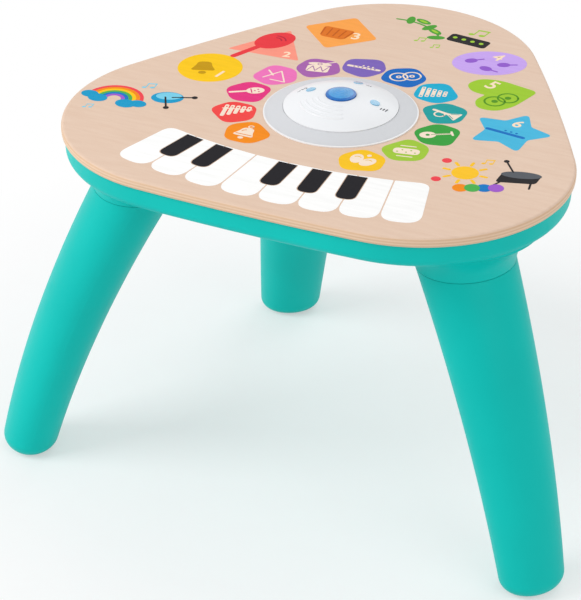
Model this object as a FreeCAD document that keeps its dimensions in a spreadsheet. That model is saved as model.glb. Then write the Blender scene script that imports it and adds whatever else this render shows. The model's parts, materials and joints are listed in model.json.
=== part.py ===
import FreeCAD, Part
import math
import os
import re

import Sketcher

# A three-legged musical activity table. Millimetres, +Z up, floor at Z = 0, the keyboard
# side faces -Y. The origin is the middle of the footprint box; the dome stands on the
# table's own axis, which lies axis_shift away from it along Y.

SIZES = {
    # the round-cornered triangular top
    "table_height": 334.0,
    "side_reach": 191.0,
    "side_radius": 2180.0,
    "corner_radius": 134.0,
    "panel_thickness": 9.0,
    "panel_edge_round": 3.0,
    "panel_hole_fit": 1.0,
    # the touch layers under the top
    "sensor_thickness": 0.6,
    "sensor_margin": 7.2,
    "sensor_hole_margin": 3.0,
    "foam_thickness": 3.0,
    "foam_margin": 3.2,
    "foam_hole_margin": 17.0,
    # the moulded tray
    "tray_inset": 3.0,
    "tray_depth": 21.0,
    "tray_wall": 2.6,
    "tray_round": 8.0,
    "tray_opening_margin": 4.0,
    "post_inset": 25.7,
    "post_turn": 16.0,
    "back_post_turn": 54.0,
    "post_radius": 4.2,
    "panel_screw_radius": 1.75,
    "panel_screw_bite": 6.0,
    "panel_screw_head_radius": 3.4,
    "panel_screw_head_height": 2.2,
    # legs and their sockets
    "socket_height": 32.0,
    "seam_gap": 0.4,
    "leg_top_breadth": 90.4,
    "leg_top_depth": 76.5,
    "leg_foot_breadth": 59.0,
    "leg_foot_depth": 50.6,
    "leg_wall": 3.0,
    "foot_round": 12.0,
    "front_seam_reach": 180.0,
    "front_knee_spread": 65.0,
    "front_foot_spread": 110.0,
    "back_leg_room": 0.55,
    "back_knee_spread": 51.0,
    "back_foot_spread": 92.0,
    "left_leg_azimuth": 210.0,
    "right_leg_azimuth": -30.0,
    "back_leg_azimuth": 126.5,
    "socket_wall": 3.2,
    "socket_fit": 0.08,
    "socket_flare": 20.0,
    "spigot_cap": 4.0,
    "leg_screw_radius": 2.5,
    "leg_screw_head_radius": 5.0,
    "leg_screw_head_height": 3.2,
    "leg_screw_length": 18.0,
    "pad_breadth": 32.0,
    "pad_depth": 24.0,
    "pad_thickness": 3.0,
    "pad_stand_out": 1.2,
    # the light ring, dome and button
    "ring_width": 17.5,
    "ring_edge_height": 1.0,
    "ring_rise": 6.0,
    "ring_wall": 2.0,
    "ring_recess_gap": 1.0,
    "dome_edge_radius": 50.5,
    "dome_edge_height": 6.6,
    "dome_radius": 120.0,
    "dome_wall": 2.0,
    "dome_fit": 0.3,
    "cup_margin": 5.5,
    "cup_wall": 2.0,
    "cup_depth": 12.0,
    "cup_flange_width": 4.0,
    "cup_flange_thickness": 1.0,
    "cup_lead_hole_radius": 9.0,
    "dome_board_margin": 3.5,
    "dome_board_thickness": 1.6,
    "dome_post_height": 13.0,
    "dome_post_margin": 10.5,
    "dome_post_radius": 3.6,
    "dome_screw_radius": 1.3,
    "dome_screw_head_radius": 2.6,
    "dome_screw_head_height": 1.8,
    "dome_screw_bite": 4.0,
    "light_side": 3.0,
    "light_height": 1.2,
    "lens_side_reach": 31.0,
    "lens_back_reach": 37.0,
    "lens_radius": 4.2,
    "lens_stand_out": 0.6,
    "button_radius": 13.2,
    "button_fit": 0.4,
    "button_flange_width": 2.2,
    "button_flange_thickness": 1.2,
    "button_rim_stand_out": 1.1,
    "button_crown": 2.4,
    "button_travel": 2.0,
    "button_stem_radius": 3.0,
    "button_gap": 0.3,
    "switch_side": 6.0,
    "switch_body_height": 3.6,
    "switch_plunger_height": 1.6,
    "switch_plunger_radius": 1.7,
    "cone_foot_radius": 10.5,
    "cone_head_radius": 6.5,
    "cone_wall": 0.8,
    # the housing under the tray
    "tub_radius": 75.0,
    "tub_depth": 32.0,
    "tub_wall": 2.5,
    "tub_round": 5.0,
    "collar_wall": 1.6,
    "tub_flange_width": 7.2,
    "tub_screw_margin": 3.8,
    "tub_screw_radius": 1.5,
    "tub_boss_radius": 3.0,
    "tub_boss_height": 8.0,
    "tub_screw_head_radius": 2.7,
    "tub_screw_head_height": 2.0,
    "tub_screw_end_gap": 1.0,
    "grille_hole_radius": 1.6,
    "grille_ring_step": 5.6,
    # loudspeaker
    "speaker_radius": 25.0,
    "speaker_room": 2.6,
    "speaker_plate": 1.2,
    "speaker_gasket": 1.5,
    "speaker_basket_depth": 8.0,
    "speaker_magnet_radius": 13.0,
    "speaker_magnet_height": 7.0,
    "speaker_cone_radius": 19.0,
    "speaker_coil_radius": 6.5,
    "speaker_opening_margin": 2.0,
    "speaker_shoulder": 3.5,
    "speaker_basket_wall": 1.2,
    "speaker_coil_gap": 0.5,
    "speaker_window_side": 9.0,
    "speaker_window_height": 4.0,
    "speaker_window_rise": 1.5,
    "speaker_window_reach": 18.0,
    "speaker_paper": 0.6,
    "speaker_cone_depth": 5.0,
    "speaker_coil_length": 3.4,
    "speaker_roll_lap": 1.0,
    "dust_cap_rise": 3.2,
    "dust_cap_height": 4.0,
    "dust_cap_radius": 12.0,
    # batteries and their box
    "cell_radius": 7.2,
    "cell_length": 49.2,
    "cell_tip_radius": 2.7,
    "cell_tip_length": 1.2,
    "cell_pitch": 15.6,
    "box_y": 33.0,
    "box_wall": 1.8,
    "box_end_room": 3.8,
    "box_headroom": 0.8,
    "contact_thickness": 0.4,
    "contact_breadth": 8.0,
    "contact_height": 10.0,
    "leaf_bow": 1.0,
    "leaf_lean": 0.6,
    "leaf_flat": 3.0,
    "door_gap": 0.4,
    "door_lap": 1.0,
    "door_screw_room": 8.0,
    "door_end_room": 2.0,
    "door_tab_length": 3.5,
    "door_tab_breadth": 7.0,
    "door_tab_thickness": 1.4,
    "door_tab_root": 1.0,
    "door_tab_notch": 4.0,
    "door_screw_radius": 1.8,
    "door_screw_head_radius": 3.5,
    "door_screw_head_height": 1.6,
    "door_screw_bite": 4.0,
    "door_screw_play": 0.5,
    "door_screw_slot": 0.9,
    "door_lug_breadth": 9.0,
    "door_lug_height": 7.0,
    # power and volume switch
    "power_x": -52.0,
    "power_y": -14.0,
    "power_travel": 8.0,
    "power_knob_length": 6.0,
    "power_knob_breadth": 5.0,
    "power_knob_stand_out": 1.2,
    "power_foot_lip": 1.0,
    "power_foot_thickness": 1.4,
    "power_body_wall": 1.6,
    "power_slot_play": 0.4,
    # main board and leads
    "board_length": 84.0,
    "board_breadth": 44.0,
    "board_y": -16.0,
    "board_thickness": 1.6,
    "board_post_height": 25.5,
    "board_post_radius": 3.2,
    "board_post_inset": 4.0,
    "board_screw_radius": 1.2,
    "board_screw_bite": 6.0,
    "board_screw_head_radius": 2.4,
    "board_screw_head_height": 1.5,
    "chip_side": 12.0,
    "chip_height": 1.8,
    "chip_x": -12.0,
    "capacitor_radius": 3.2,
    "capacitor_height": 8.0,
    "capacitor_x": -22.0,
    "capacitor_y": -30.0,
    "capacitor_pitch": 8.0,
    "socket_length": 8.0,
    "socket_breadth": 5.0,
    "socket_rise": 6.0,
    "ribbon_socket_margin": 2.0,
    "battery_socket_x": -34.0,
    "battery_socket_y": -4.0,
    "speaker_socket_x": 10.0,
    "speaker_socket_y": -30.0,
    "dome_socket_x": 12.0,
    "dome_socket_y": -12.0,
    "lead_radius": 0.8,
    "ribbon_breadth": 14.0,
    "ribbon_thickness": 0.3,
    "ribbon_socket_x": 34.0,
}

PANEL_SCREW_AZIMUTHS = (
    "-90 - post_turn",
    "-90 + post_turn",
    "30 - post_turn",
    "30 + post_turn",
    "30 + back_post_turn",
    "150 + post_turn",
)
DOME_SCREW_AZIMUTHS = (30.0, 150.0, 270.0)
LENS_PLACES = (("lens_side_reach", 173.0), ("lens_back_reach", 90.0), ("lens_side_reach", 7.0))
SIDE_AZIMUTHS = (-90.0, 30.0, 150.0)
RING_LIGHT_COUNT = 12
TUB_SCREW_COUNT = 6
GRILLE_RINGS = 3
CELL_COUNT = 3
LOFT_STEPS = 6
SOCKET_SHARES = (0.0, 0.25, 0.5, 0.7, 0.85, 1.0)
SOCKET_BEND = 2.2
ARC_SHARE = 0.45
SAME_PLACE = 0.01
SOCKETS = {
    "battery_lead": ("battery_socket_x", "battery_socket_y"),
    "speaker_lead": ("speaker_socket_x", "speaker_socket_y"),
    "dome_lead": ("dome_socket_x", "dome_socket_y"),
}
PRIMITIVES = ("Part::Cylinder", "Part::Cone", "Part::Sphere", "Part::Box")

# Levels and lengths that several pieces share, as expressions over the sizes
PANEL_UNDER = "(table_height - panel_thickness)"
LAYERS = "(sensor_thickness + foam_thickness)"
TRAY_UNDER = "(%s - tray_depth)" % PANEL_UNDER
TRAY_FLOOR = "(%s + tray_wall)" % TRAY_UNDER
SEAM_HEIGHT = "(%s - socket_height)" % TRAY_UNDER
TUB_UNDER = "(%s - tub_depth)" % TRAY_UNDER
TUB_FLOOR = "(%s + tub_wall)" % TUB_UNDER
TUB_FLANGE_RADIUS = "(tub_radius + tub_flange_width)"
TUB_SCREW_REACH = "(tub_radius + tub_screw_margin)"
TUB_INSIDE = "(tub_radius - tub_wall - tub_round)"
SPEAKER_Y = "(speaker_radius + collar_wall + dome_fit + speaker_room - %s)" % TUB_INSIDE
BACK_SEAM_REACH = "(%s + back_leg_room + socket_flare + leg_top_depth / 2)" % TUB_FLANGE_RADIUS
LEGS = (
    ("left", "left_leg_azimuth", "front_seam_reach", "front_knee_spread", "front_foot_spread"),
    ("right", "right_leg_azimuth", "front_seam_reach", "front_knee_spread", "front_foot_spread"),
    ("back", "back_leg_azimuth", BACK_SEAM_REACH, "back_knee_spread", "back_foot_spread"),
)
POST_REACH = "((side_reach - post_inset) / cos(post_turn))"
POST_INNER_INSET = "(post_inset - post_radius - dome_fit)"
CUP_FLOOR = "(table_height - cup_depth)"
CUP_RADIUS = "(dome_edge_radius + cup_margin)"
CUP_FLANGE_RADIUS = "(%s + cup_flange_width)" % CUP_RADIUS
PANEL_HOLE_RADIUS = "(%s + panel_hole_fit)" % CUP_RADIUS
RING_RADIUS = "(dome_edge_radius + ring_width)"
DOME_POST_REACH = "(dome_edge_radius - dome_post_margin)"
DOME_BOARD_RADIUS = "(dome_edge_radius - dome_board_margin)"
DOME_BOARD = "(%s + cup_wall + dome_post_height)" % CUP_FLOOR
DOME_BOARD_TOP = "(%s + dome_board_thickness)" % DOME_BOARD
DOME_CENTRE = "(table_height + dome_edge_height - sqrt(dome_radius^2 - dome_edge_radius^2))"
BOX_LENGTH = "(cell_length + cell_tip_length + 2 * box_end_room)"
BOX_BREADTH = "(%d * cell_pitch)" % CELL_COUNT
CELL_Z = "(%s + dome_fit + cell_radius)" % TUB_FLOOR
DOOR_LOW = "(door_lap - %s / 2)" % BOX_LENGTH
DOOR_HIGH = "(%s / 2 + box_wall + door_screw_room + door_end_room)" % BOX_LENGTH
DOOR_BREADTH = "(%s - door_lap)" % BOX_BREADTH
DOOR_SCREW_X = "(%s / 2 + box_wall + door_screw_room / 2)" % BOX_LENGTH
BOARD_UNDER = "(%s + board_post_height)" % TUB_FLOOR
BOARD_TOP = "(%s + board_thickness)" % BOARD_UNDER


def corner_centre(numbers):
    """Reach of each corner arc's centre, where the corners are tangent to the sides."""
    across = numbers["side_reach"] - numbers["side_radius"]
    span = numbers["side_radius"] - numbers["corner_radius"]
    return (across + math.sqrt(4.0 * span * span - 3.0 * across * across)) / 2.0


# Sizes that follow from the driving ones: the corner arcs' centres, and how far the
# table's axis lies from the middle of the top's own box.
SIZES["corner_centre_reach"] = corner_centre(SIZES)
SIZES["axis_shift"] = (SIZES["side_reach"] - SIZES["corner_centre_reach"] - SIZES["corner_radius"]) / 2.0

doc = FreeCAD.newDocument("activity_table")
sheet = doc.addObject("Spreadsheet::Sheet", "Sizes")
for row, (alias, amount) in enumerate(SIZES.items(), start=1):
    sheet.set("A%d" % row, alias)
    sheet.set("B%d" % row, repr(amount))
    sheet.setAlias("B%d" % row, alias)
doc.recompute()

pieces = {}


def size(alias):
    """One size from the sheet."""
    return float(sheet.get(alias))


def bound(words):
    """An expression over aliases, as another object of the document writes it."""
    return re.sub(r"[a-z]\w*", lambda m: "Sizes." + m.group() if m.group() in SIZES else m.group(), words)


def vector(x, y, z):
    """A point."""
    return FreeCAD.Vector(x, y, z)


def polar(reach, azimuth, z=0.0):
    """A point at a reach and an azimuth from the table's axis."""
    turn = math.radians(azimuth)
    return vector(reach * math.cos(turn), reach * math.sin(turn), z)


def number(words):
    """What an expression over aliases comes to."""
    return float(sheet.evalExpression(words))


def place(item, x="0", y="0", z="0"):
    """Bind an object's place to the sheet."""
    item.setExpression("Placement.Base.x", bound(x))
    item.setExpression("Placement.Base.y", bound(y))
    item.setExpression("Placement.Base.z", bound(z))
    return item


def cylinder(radius, height, x="0", y="0", z="0"):
    """An upright round bar that stands at a point."""
    item = doc.addObject("Part::Cylinder", "round")
    item.setExpression("Radius", bound(radius))
    item.setExpression("Height", bound(height))
    return place(item, x, y, z)


def cone(low_radius, high_radius, height, x="0", y="0", z="0"):
    """An upright round bar that tapers."""
    item = doc.addObject("Part::Cone", "taper")
    item.setExpression("Radius1", bound(low_radius))
    item.setExpression("Radius2", bound(high_radius))
    item.setExpression("Height", bound(height))
    return place(item, x, y, z)


def ball(radius, x="0", y="0", z="0"):
    """A full ball about a point."""
    item = doc.addObject("Part::Sphere", "ball")
    item.setExpression("Radius", bound(radius))
    return place(item, x, y, z)


def block(length, breadth, height, x="0", y="0", z="0"):
    """A box centred on x and y that stands on z."""
    item = doc.addObject("Part::Box", "block")
    item.setExpression("Length", bound(length))
    item.setExpression("Width", bound(breadth))
    item.setExpression("Height", bound(height))
    return place(item, "%s - (%s) / 2" % (x, length), "%s - (%s) / 2" % (y, breadth), z)


def lying_cylinder(radius, length, x, y, z):
    """A round bar that lies along X and starts at a point."""
    item = cylinder(radius, length, x, y, z)
    item.Placement.Rotation = FreeCAD.Rotation(vector(0, 1, 0), 90)
    return item


def fuse(*items):
    """One solid from several."""
    item = doc.addObject("Part::MultiFuse", "joined")
    item.Shapes = list(items)
    return item


def cut(base, *tools):
    """A solid with others taken away."""
    item = doc.addObject("Part::Cut", "cleared")
    item.Base = base
    item.Tool = tools[0] if len(tools) == 1 else group(*tools)
    return item


def common(first, *others):
    """What several solids share."""
    item = doc.addObject("Part::MultiCommon", "shared")
    item.Shapes = [first] + list(others)
    return item


def group(*items):
    """Separate solids that are handled together."""
    item = doc.addObject("Part::Compound", "group")
    item.Links = list(items)
    return item


def spot(reach, azimuth):
    """The X and Y expressions of a point at a reach and an azimuth."""
    return "(%s) * cos(%s)" % (reach, azimuth), "(%s) * sin(%s)" % (reach, azimuth)


def around(maker, reach, azimuths):
    """Copies of one piece at a reach and several azimuths."""
    return [maker(*spot(reach, azimuth)) for azimuth in azimuths]


def keep(item, label):
    """Register a finished piece, moved from the table's axis to the origin."""
    holder = item
    if not item.isDerivedFrom("PartDesign::Body") and item.TypeId in PRIMITIVES:
        holder = group(item)
    holder.Label = label
    holder.setExpression("Placement.Base.y", "Sizes.axis_shift")
    pieces[label] = holder
    return holder


def keep_shape(shape, label):
    """Register a shape that is worked out directly, moved from the table's axis to the origin."""
    item = doc.addObject("Part::Feature", label)
    item.Shape = shape
    item.Placement = FreeCAD.Placement(vector(0.0, size("axis_shift"), 0.0), FreeCAD.Rotation()).multiply(
        shape.Placement
    )
    item.Label = label
    pieces[label] = item
    return item


def shaped(shape):
    """A worked-out shape as an object that booleans can use."""
    item = doc.addObject("Part::Feature", "form")
    item.Shape = shape
    return item


def plane_of(body, role):
    """One of a body's own origin planes."""
    return [item for item in body.Origin.OriginFeatures if item.Role == role][0]


def sketch_on(body, role, label):
    """An empty sketch on one of a body's own origin planes."""
    sketch = body.newObject("Sketcher::SketchObject", label)
    sketch.AttachmentSupport = [(plane_of(body, role), "")]
    sketch.MapMode = "FlatFace"
    return sketch


def outline_arcs(inset):
    """The six arcs of the round-cornered triangle, drawn in by an inset, anticlockwise."""
    reach = size("side_reach") - inset
    side = size("side_radius") - inset
    corner = size("corner_radius") - inset
    arcs = []
    for azimuth in SIDE_AZIMUTHS:
        side_centre = polar(reach - side, azimuth)
        before = polar(size("corner_centre_reach"), azimuth - 60.0)
        after = polar(size("corner_centre_reach"), azimuth + 60.0)
        beyond = polar(reach - side, azimuth + 120.0)
        start = math.atan2(before.y - side_centre.y, before.x - side_centre.x)
        end = math.atan2(after.y - side_centre.y, after.x - side_centre.x)
        leave = math.atan2(after.y - beyond.y, after.x - beyond.x)
        up = vector(0, 0, 1)
        arcs.append(Part.ArcOfCircle(Part.Circle(side_centre, up, side), start, end))
        arcs.append(Part.ArcOfCircle(Part.Circle(after, up, corner), end, leave))
    return arcs


def draw_outline(sketch, inset):
    """Draw the table's outline in a sketch, its arcs tangent and bound to the sheet."""
    first = sketch.GeometryCount
    for arc in outline_arcs(number(inset)):
        sketch.addGeometry(arc, False)
    count = 2 * len(SIDE_AZIMUTHS)
    for index in range(count):
        sketch.addConstraint(
            Sketcher.Constraint("Tangent", first + index, 2, first + (index + 1) % count, 1)
        )
    for index in range(count):
        alias = "side_radius" if index % 2 == 0 else "corner_radius"
        rule = sketch.addConstraint(
            Sketcher.Constraint("Radius", first + index, size(alias) - number(inset))
        )
        sketch.setExpression("Constraints[%d]" % rule, bound("%s - (%s)" % (alias, inset)))
    for index, azimuth in enumerate(SIDE_AZIMUTHS):
        corner = first + 2 * index + 1
        centre = polar(size("corner_centre_reach"), azimuth + 60.0)
        for way, amount, turn in (("DistanceX", centre.x, "cos"), ("DistanceY", centre.y, "sin")):
            rule = sketch.addConstraint(Sketcher.Constraint(way, -1, 1, corner, 3, amount))
            words = "corner_centre_reach * %s(%r)" % (turn, azimuth + 60.0)
            sketch.setExpression("Constraints[%d]" % rule, bound(words))


def draw_circle(sketch, radius):
    """Draw a circle about the sketch's origin, its radius bound to the sheet."""
    circle = sketch.addGeometry(Part.Circle(vector(0, 0, 0), vector(0, 0, 1), number(radius)), False)
    sketch.addConstraint(Sketcher.Constraint("Coincident", circle, 3, -1, 1))
    rule = sketch.addConstraint(Sketcher.Constraint("Radius", circle, number(radius)))
    sketch.setExpression("Constraints[%d]" % rule, bound(radius))


def plate(label, inset, hole, height, z):
    """A body: the table's outline with a round hole, padded up from z."""
    body = doc.addObject("PartDesign::Body", label)
    sketch = sketch_on(body, "XY_Plane", label + "_outline")
    sketch.setExpression("AttachmentOffset.Base.z", bound(z))
    draw_outline(sketch, inset)
    if hole:
        draw_circle(sketch, hole)
    pad = body.newObject("PartDesign::Pad", label + "_pad")
    pad.Profile = sketch
    pad.setExpression("Length", bound(height))
    sketch.Visibility = False
    doc.recompute()
    return body


def outer_edges(body, z):
    """Names of the outline's arcs at one level."""
    names = []
    for index, edge in enumerate(body.Shape.Edges, start=1):
        box = edge.BoundBox
        level = abs(box.ZMin - z) < SAME_PLACE and abs(box.ZMax - z) < SAME_PLACE
        if level and edge.Curve.TypeId == "Part::GeomCircle":
            centre = edge.Curve.Center
            if math.hypot(centre.x, centre.y) > SAME_PLACE:
                names.append("Edge%d" % index)
    return names


def round_off(body, names, radius):
    """Fillet some edges of a body's last feature."""
    last = body.Tip
    rounding = body.newObject("PartDesign::Fillet", body.Name + "_round")
    rounding.Base = (last, names)
    rounding.setExpression("Radius", bound(radius))
    body.Tip = rounding
    doc.recompute()


def turned(label, points):
    """A body turned about the upright axis from a closed outline of radius and height expressions."""
    body = doc.addObject("PartDesign::Body", label)
    sketch = sketch_on(body, "XZ_Plane", label + "_half")
    spots = [vector(number(radius), number(height), 0) for radius, height in points]
    count = len(points)
    for index in range(count):
        sketch.addGeometry(Part.LineSegment(spots[index], spots[(index + 1) % count]), False)
    for index in range(count):
        sketch.addConstraint(Sketcher.Constraint("Coincident", index, 2, (index + 1) % count, 1))
    for index, (radius, height) in enumerate(points):
        for way, words in (("DistanceX", radius), ("DistanceY", height)):
            rule = sketch.addConstraint(Sketcher.Constraint(way, -1, 1, index, 1, number(words)))
            sketch.setExpression("Constraints[%d]" % rule, bound(words))
    spin = body.newObject("PartDesign::Revolution", label + "_turn")
    spin.Profile = sketch
    spin.ReferenceAxis = (sketch, ["V_Axis"])
    spin.Angle = 360.0
    return body


def oval(centre, depth, breadth, z):
    """A level ellipse: depth along X, the leg's outward direction, and breadth along Y."""
    middle = vector(centre, 0.0, z)
    if breadth >= depth:
        curve = Part.Ellipse(vector(centre, breadth / 2.0, z), vector(centre + depth / 2.0, 0.0, z), middle)
    else:
        curve = Part.Ellipse(vector(centre + depth / 2.0, 0.0, z), vector(centre, breadth / 2.0, z), middle)
    return Part.Wire([curve.toShape()])


def oval_bar(centre, depth, breadth, low, high):
    """An upright bar of oval section."""
    return Part.Face(oval(centre, depth, breadth, low)).extrude(vector(0, 0, high - low))


def upright(radius, centre, low, high):
    """An upright round bar at a reach along X."""
    return Part.makeCylinder(radius, high - low, vector(centre, 0.0, low))


class LegLine:
    """The curve and the sections of one leg, from the floor to the seam under its socket."""

    def __init__(self, name, azimuth, seam_reach, knee_spread, foot_spread):
        self.name = name
        self.azimuth = size(azimuth)
        self.seam = number(seam_reach)
        self.knee = self.seam + size(knee_spread)
        self.foot = self.seam + size(foot_spread)
        self.height = number(SEAM_HEIGHT)

    def reach(self, z):
        """The section centre's reach at a height: a parabola through foot, knee and seam."""
        share = z / self.height
        foot = self.foot * (1.0 - share) * (1.0 - 2.0 * share)
        knee = self.knee * 4.0 * share * (1.0 - share)
        seam = self.seam * share * (2.0 * share - 1.0)
        return foot + knee + seam

    def section(self, z, inset):
        """The leg's oval at a height, drawn in by an inset."""
        share = z / self.height
        depth = size("leg_foot_depth") + (size("leg_top_depth") - size("leg_foot_depth")) * share
        breadth = size("leg_foot_breadth") + (size("leg_top_breadth") - size("leg_foot_breadth")) * share
        return oval(self.reach(z), depth - 2.0 * inset, breadth - 2.0 * inset, z)

    def body(self, low, high, inset):
        """The solid between two heights."""
        levels = [low + (high - low) * step / LOFT_STEPS for step in range(LOFT_STEPS + 1)]
        return Part.makeLoft([self.section(z, inset) for z in levels], True)


def turn_to(shape, azimuth):
    """A shape built along X, turned to its azimuth."""
    copy = shape.copy()
    copy.rotate(vector(0, 0, 0), vector(0, 0, 1), azimuth)
    return copy


def make_leg(line):
    """A hollow leg along X: a curved oval shell with a spigot on top and a recess for its pad."""
    low = size("pad_stand_out")
    high = line.height - size("seam_gap")
    wall = size("leg_wall")
    shell = line.body(low, high, 0.0)
    foot = min(shell.Edges, key=lambda edge: edge.BoundBox.ZMax)
    shell = shell.makeFillet(size("foot_round"), [foot])
    roof = number(TRAY_UNDER)
    inset = size("socket_wall") + size("socket_fit")
    depth = size("leg_top_depth") - 2.0 * inset
    breadth = size("leg_top_breadth") - 2.0 * inset
    shoulder = high - 2.0 * wall
    shell = shell.fuse(oval_bar(line.seam, depth, breadth, high, roof))
    shell = shell.cut(line.body(low + size("foot_round"), shoulder - wall, wall))
    hollow = oval_bar(
        line.seam, depth - 2.0 * wall, breadth - 2.0 * wall, shoulder - 2.0 * wall, roof - size("spigot_cap")
    )
    shell = shell.cut(hollow)
    tip = number(TRAY_FLOOR) - size("leg_screw_length")
    boss = upright(2.0 * size("leg_screw_radius"), line.seam, tip - wall, roof - size("spigot_cap"))
    shell = shell.fuse(boss)
    shell = shell.cut(upright(size("leg_screw_radius") + size("socket_fit"), line.seam, tip, roof))
    recess = oval_bar(
        line.reach(0.0),
        size("pad_depth") + 2.0 * size("socket_fit"),
        size("pad_breadth") + 2.0 * size("socket_fit"),
        0.0,
        size("pad_thickness"),
    )
    return shell.cut(recess)


def make_pad(line):
    """The rubber pad in the foot of a leg."""
    return oval_bar(line.reach(0.0), size("pad_depth"), size("pad_breadth"), 0.0, size("pad_thickness"))


def make_socket(line):
    """The horn that flares from a leg's seam up to the tray's underside, with its bore for the spigot."""
    low = line.height
    high = number(TRAY_UNDER)
    rings = []
    for share in SOCKET_SHARES:
        growth = 2.0 * size("socket_flare") * share**SOCKET_BEND
        depth = size("leg_top_depth") + growth
        breadth = size("leg_top_breadth") + growth
        rings.append(oval(line.seam, depth, breadth, low + (high - low) * share))
    wall = 2.0 * size("socket_wall")
    bore = oval_bar(line.seam, size("leg_top_depth") - wall, size("leg_top_breadth") - wall, low, high)
    return Part.makeLoft(rings, True).cut(bore)


def make_socket_roof(line):
    """The stretch of the tray's floor that covers a socket."""
    growth = 2.0 * size("socket_flare")
    return oval_bar(
        line.seam,
        size("leg_top_depth") + growth,
        size("leg_top_breadth") + growth,
        number(TRAY_UNDER),
        number(TRAY_FLOOR),
    )


def make_leg_screw_hole(line):
    """The hole in a socket's roof for the leg's screw."""
    radius = size("leg_screw_radius") + size("socket_fit")
    return upright(radius, line.seam, number(TRAY_UNDER), number(TRAY_FLOOR))


def make_leg_screw(line):
    """The screw that draws a leg's spigot up into its socket, driven from inside the tray."""
    seat = number(TRAY_FLOOR)
    head = upright(size("leg_screw_head_radius"), line.seam, seat, seat + size("leg_screw_head_height"))
    shank = upright(size("leg_screw_radius"), line.seam, seat - size("leg_screw_length"), seat)
    return head.fuse(shank)


def build_top():
    """The plywood top and the touch layers under it."""
    panel = plate("top_panel", "0", PANEL_HOLE_RADIUS, "panel_thickness", PANEL_UNDER)
    rims = outer_edges(panel, size("table_height")) + outer_edges(panel, number(PANEL_UNDER))
    round_off(panel, rims, "panel_edge_round")
    pilot = around(
        lambda x, y: cylinder("panel_screw_radius + socket_fit", "panel_screw_bite", x, y, PANEL_UNDER),
        POST_REACH,
        PANEL_SCREW_AZIMUTHS,
    )
    keep(cut(panel, *pilot), "top_panel")
    sensor = plate(
        "sensor_plate",
        POST_INNER_INSET + " - sensor_margin",
        PANEL_HOLE_RADIUS + " + sensor_hole_margin",
        "sensor_thickness",
        PANEL_UNDER + " - sensor_thickness",
    )
    keep(cut(sensor, *post_gaps()), "sensor_sheet")
    foam = plate(
        "foam_plate",
        POST_INNER_INSET + " - foam_margin",
        PANEL_HOLE_RADIUS + " + foam_hole_margin",
        "foam_thickness",
        "%s - %s" % (PANEL_UNDER, LAYERS),
    )
    keep(cut(foam, *post_gaps()), "foam_pad")


def post_gaps():
    """The room that the touch layers leave round the tray's posts."""
    return around(
        lambda x, y: cylinder("post_radius + dome_fit", LAYERS, x, y, "%s - %s" % (PANEL_UNDER, LAYERS)),
        POST_REACH,
        PANEL_SCREW_AZIMUTHS,
    )


def build_tray(lines):
    """The tray with its screw posts."""
    outer = plate("tray_block", "tray_inset", None, "tray_depth", TRAY_UNDER)
    round_off(outer, outer_edges(outer, number(TRAY_UNDER)), "tray_round")
    inner = plate("tray_room", "tray_inset + tray_wall", None, "tray_depth", TRAY_FLOOR)
    round_off(inner, outer_edges(inner, number(TRAY_FLOOR)), "tray_round - tray_wall")
    roofs = [shaped(turn_to(make_socket_roof(line), line.azimuth)) for line in lines]
    leg_holes = [shaped(turn_to(make_leg_screw_hole(line), line.azimuth)) for line in lines]
    posts = around(
        lambda x, y: cylinder("post_radius", "tray_depth - tray_wall", x, y, TRAY_FLOOR),
        POST_REACH,
        PANEL_SCREW_AZIMUTHS,
    )
    bosses = around(
        lambda x, y: cylinder("tub_boss_radius", "tub_boss_height", x, y, TRAY_FLOOR),
        TUB_SCREW_REACH,
        tub_screw_azimuths(),
    )
    shell = cut(outer, inner)
    solid = fuse(shell, *(roofs + posts + bosses))
    holes = around(
        lambda x, y: cylinder("panel_screw_radius + socket_fit", "tray_depth", x, y, TRAY_UNDER),
        POST_REACH,
        PANEL_SCREW_AZIMUTHS,
    )
    holes += around(
        lambda x, y: cylinder(
            "panel_screw_head_radius + dome_fit", "panel_screw_head_height", x, y, TRAY_UNDER
        ),
        POST_REACH,
        PANEL_SCREW_AZIMUTHS,
    )
    holes += around(
        lambda x, y: cylinder(
            "tub_screw_radius + socket_fit", "tray_wall + tub_boss_height", x, y, TRAY_UNDER
        ),
        TUB_SCREW_REACH,
        tub_screw_azimuths(),
    )
    holes.append(cylinder("tub_radius - tray_opening_margin", "tray_wall", "0", "0", TRAY_UNDER))
    keep(cut(solid, *(holes + leg_holes)), "base_tray")


def tub_screw_azimuths():
    """Azimuths of the screws that hold the housing."""
    return [(index + 0.5) * 360.0 / TUB_SCREW_COUNT for index in range(TUB_SCREW_COUNT)]


def build_legs(lines):
    """Three legs, their sockets, pads and screws."""
    screws = []
    for line in lines:
        keep_shape(turn_to(make_leg(line), line.azimuth), "leg_" + line.name)
        keep_shape(turn_to(make_pad(line), line.azimuth), "foot_pad_" + line.name)
        keep_shape(turn_to(make_socket(line), line.azimuth), "leg_socket_" + line.name)
        screws.append(turn_to(make_leg_screw(line), line.azimuth))
    keep_shape(Part.makeCompound(screws), "leg_screws")


def build_panel_screws():
    """The screws that hold the top, driven up through the tray's posts."""
    def screw(x, y):
        under = TRAY_UNDER
        head = cylinder("panel_screw_head_radius", "panel_screw_head_height", x, y, under)
        length = "panel_screw_bite + tray_depth - panel_screw_head_height"
        shank = cylinder("panel_screw_radius", length, x, y, under + " + panel_screw_head_height")
        return fuse(head, shank)

    keep(group(*around(screw, POST_REACH, PANEL_SCREW_AZIMUTHS)), "panel_screws")


def ring_under(radius):
    """Height of the light ring's underside at a radius, as an expression."""
    slope = "((ring_rise - ring_edge_height) / (ring_width - dome_fit))"
    rise = "(%s - (%s)) * %s" % (RING_RADIUS, radius, slope)
    return "table_height + ring_edge_height - ring_wall + %s" % rise


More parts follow.
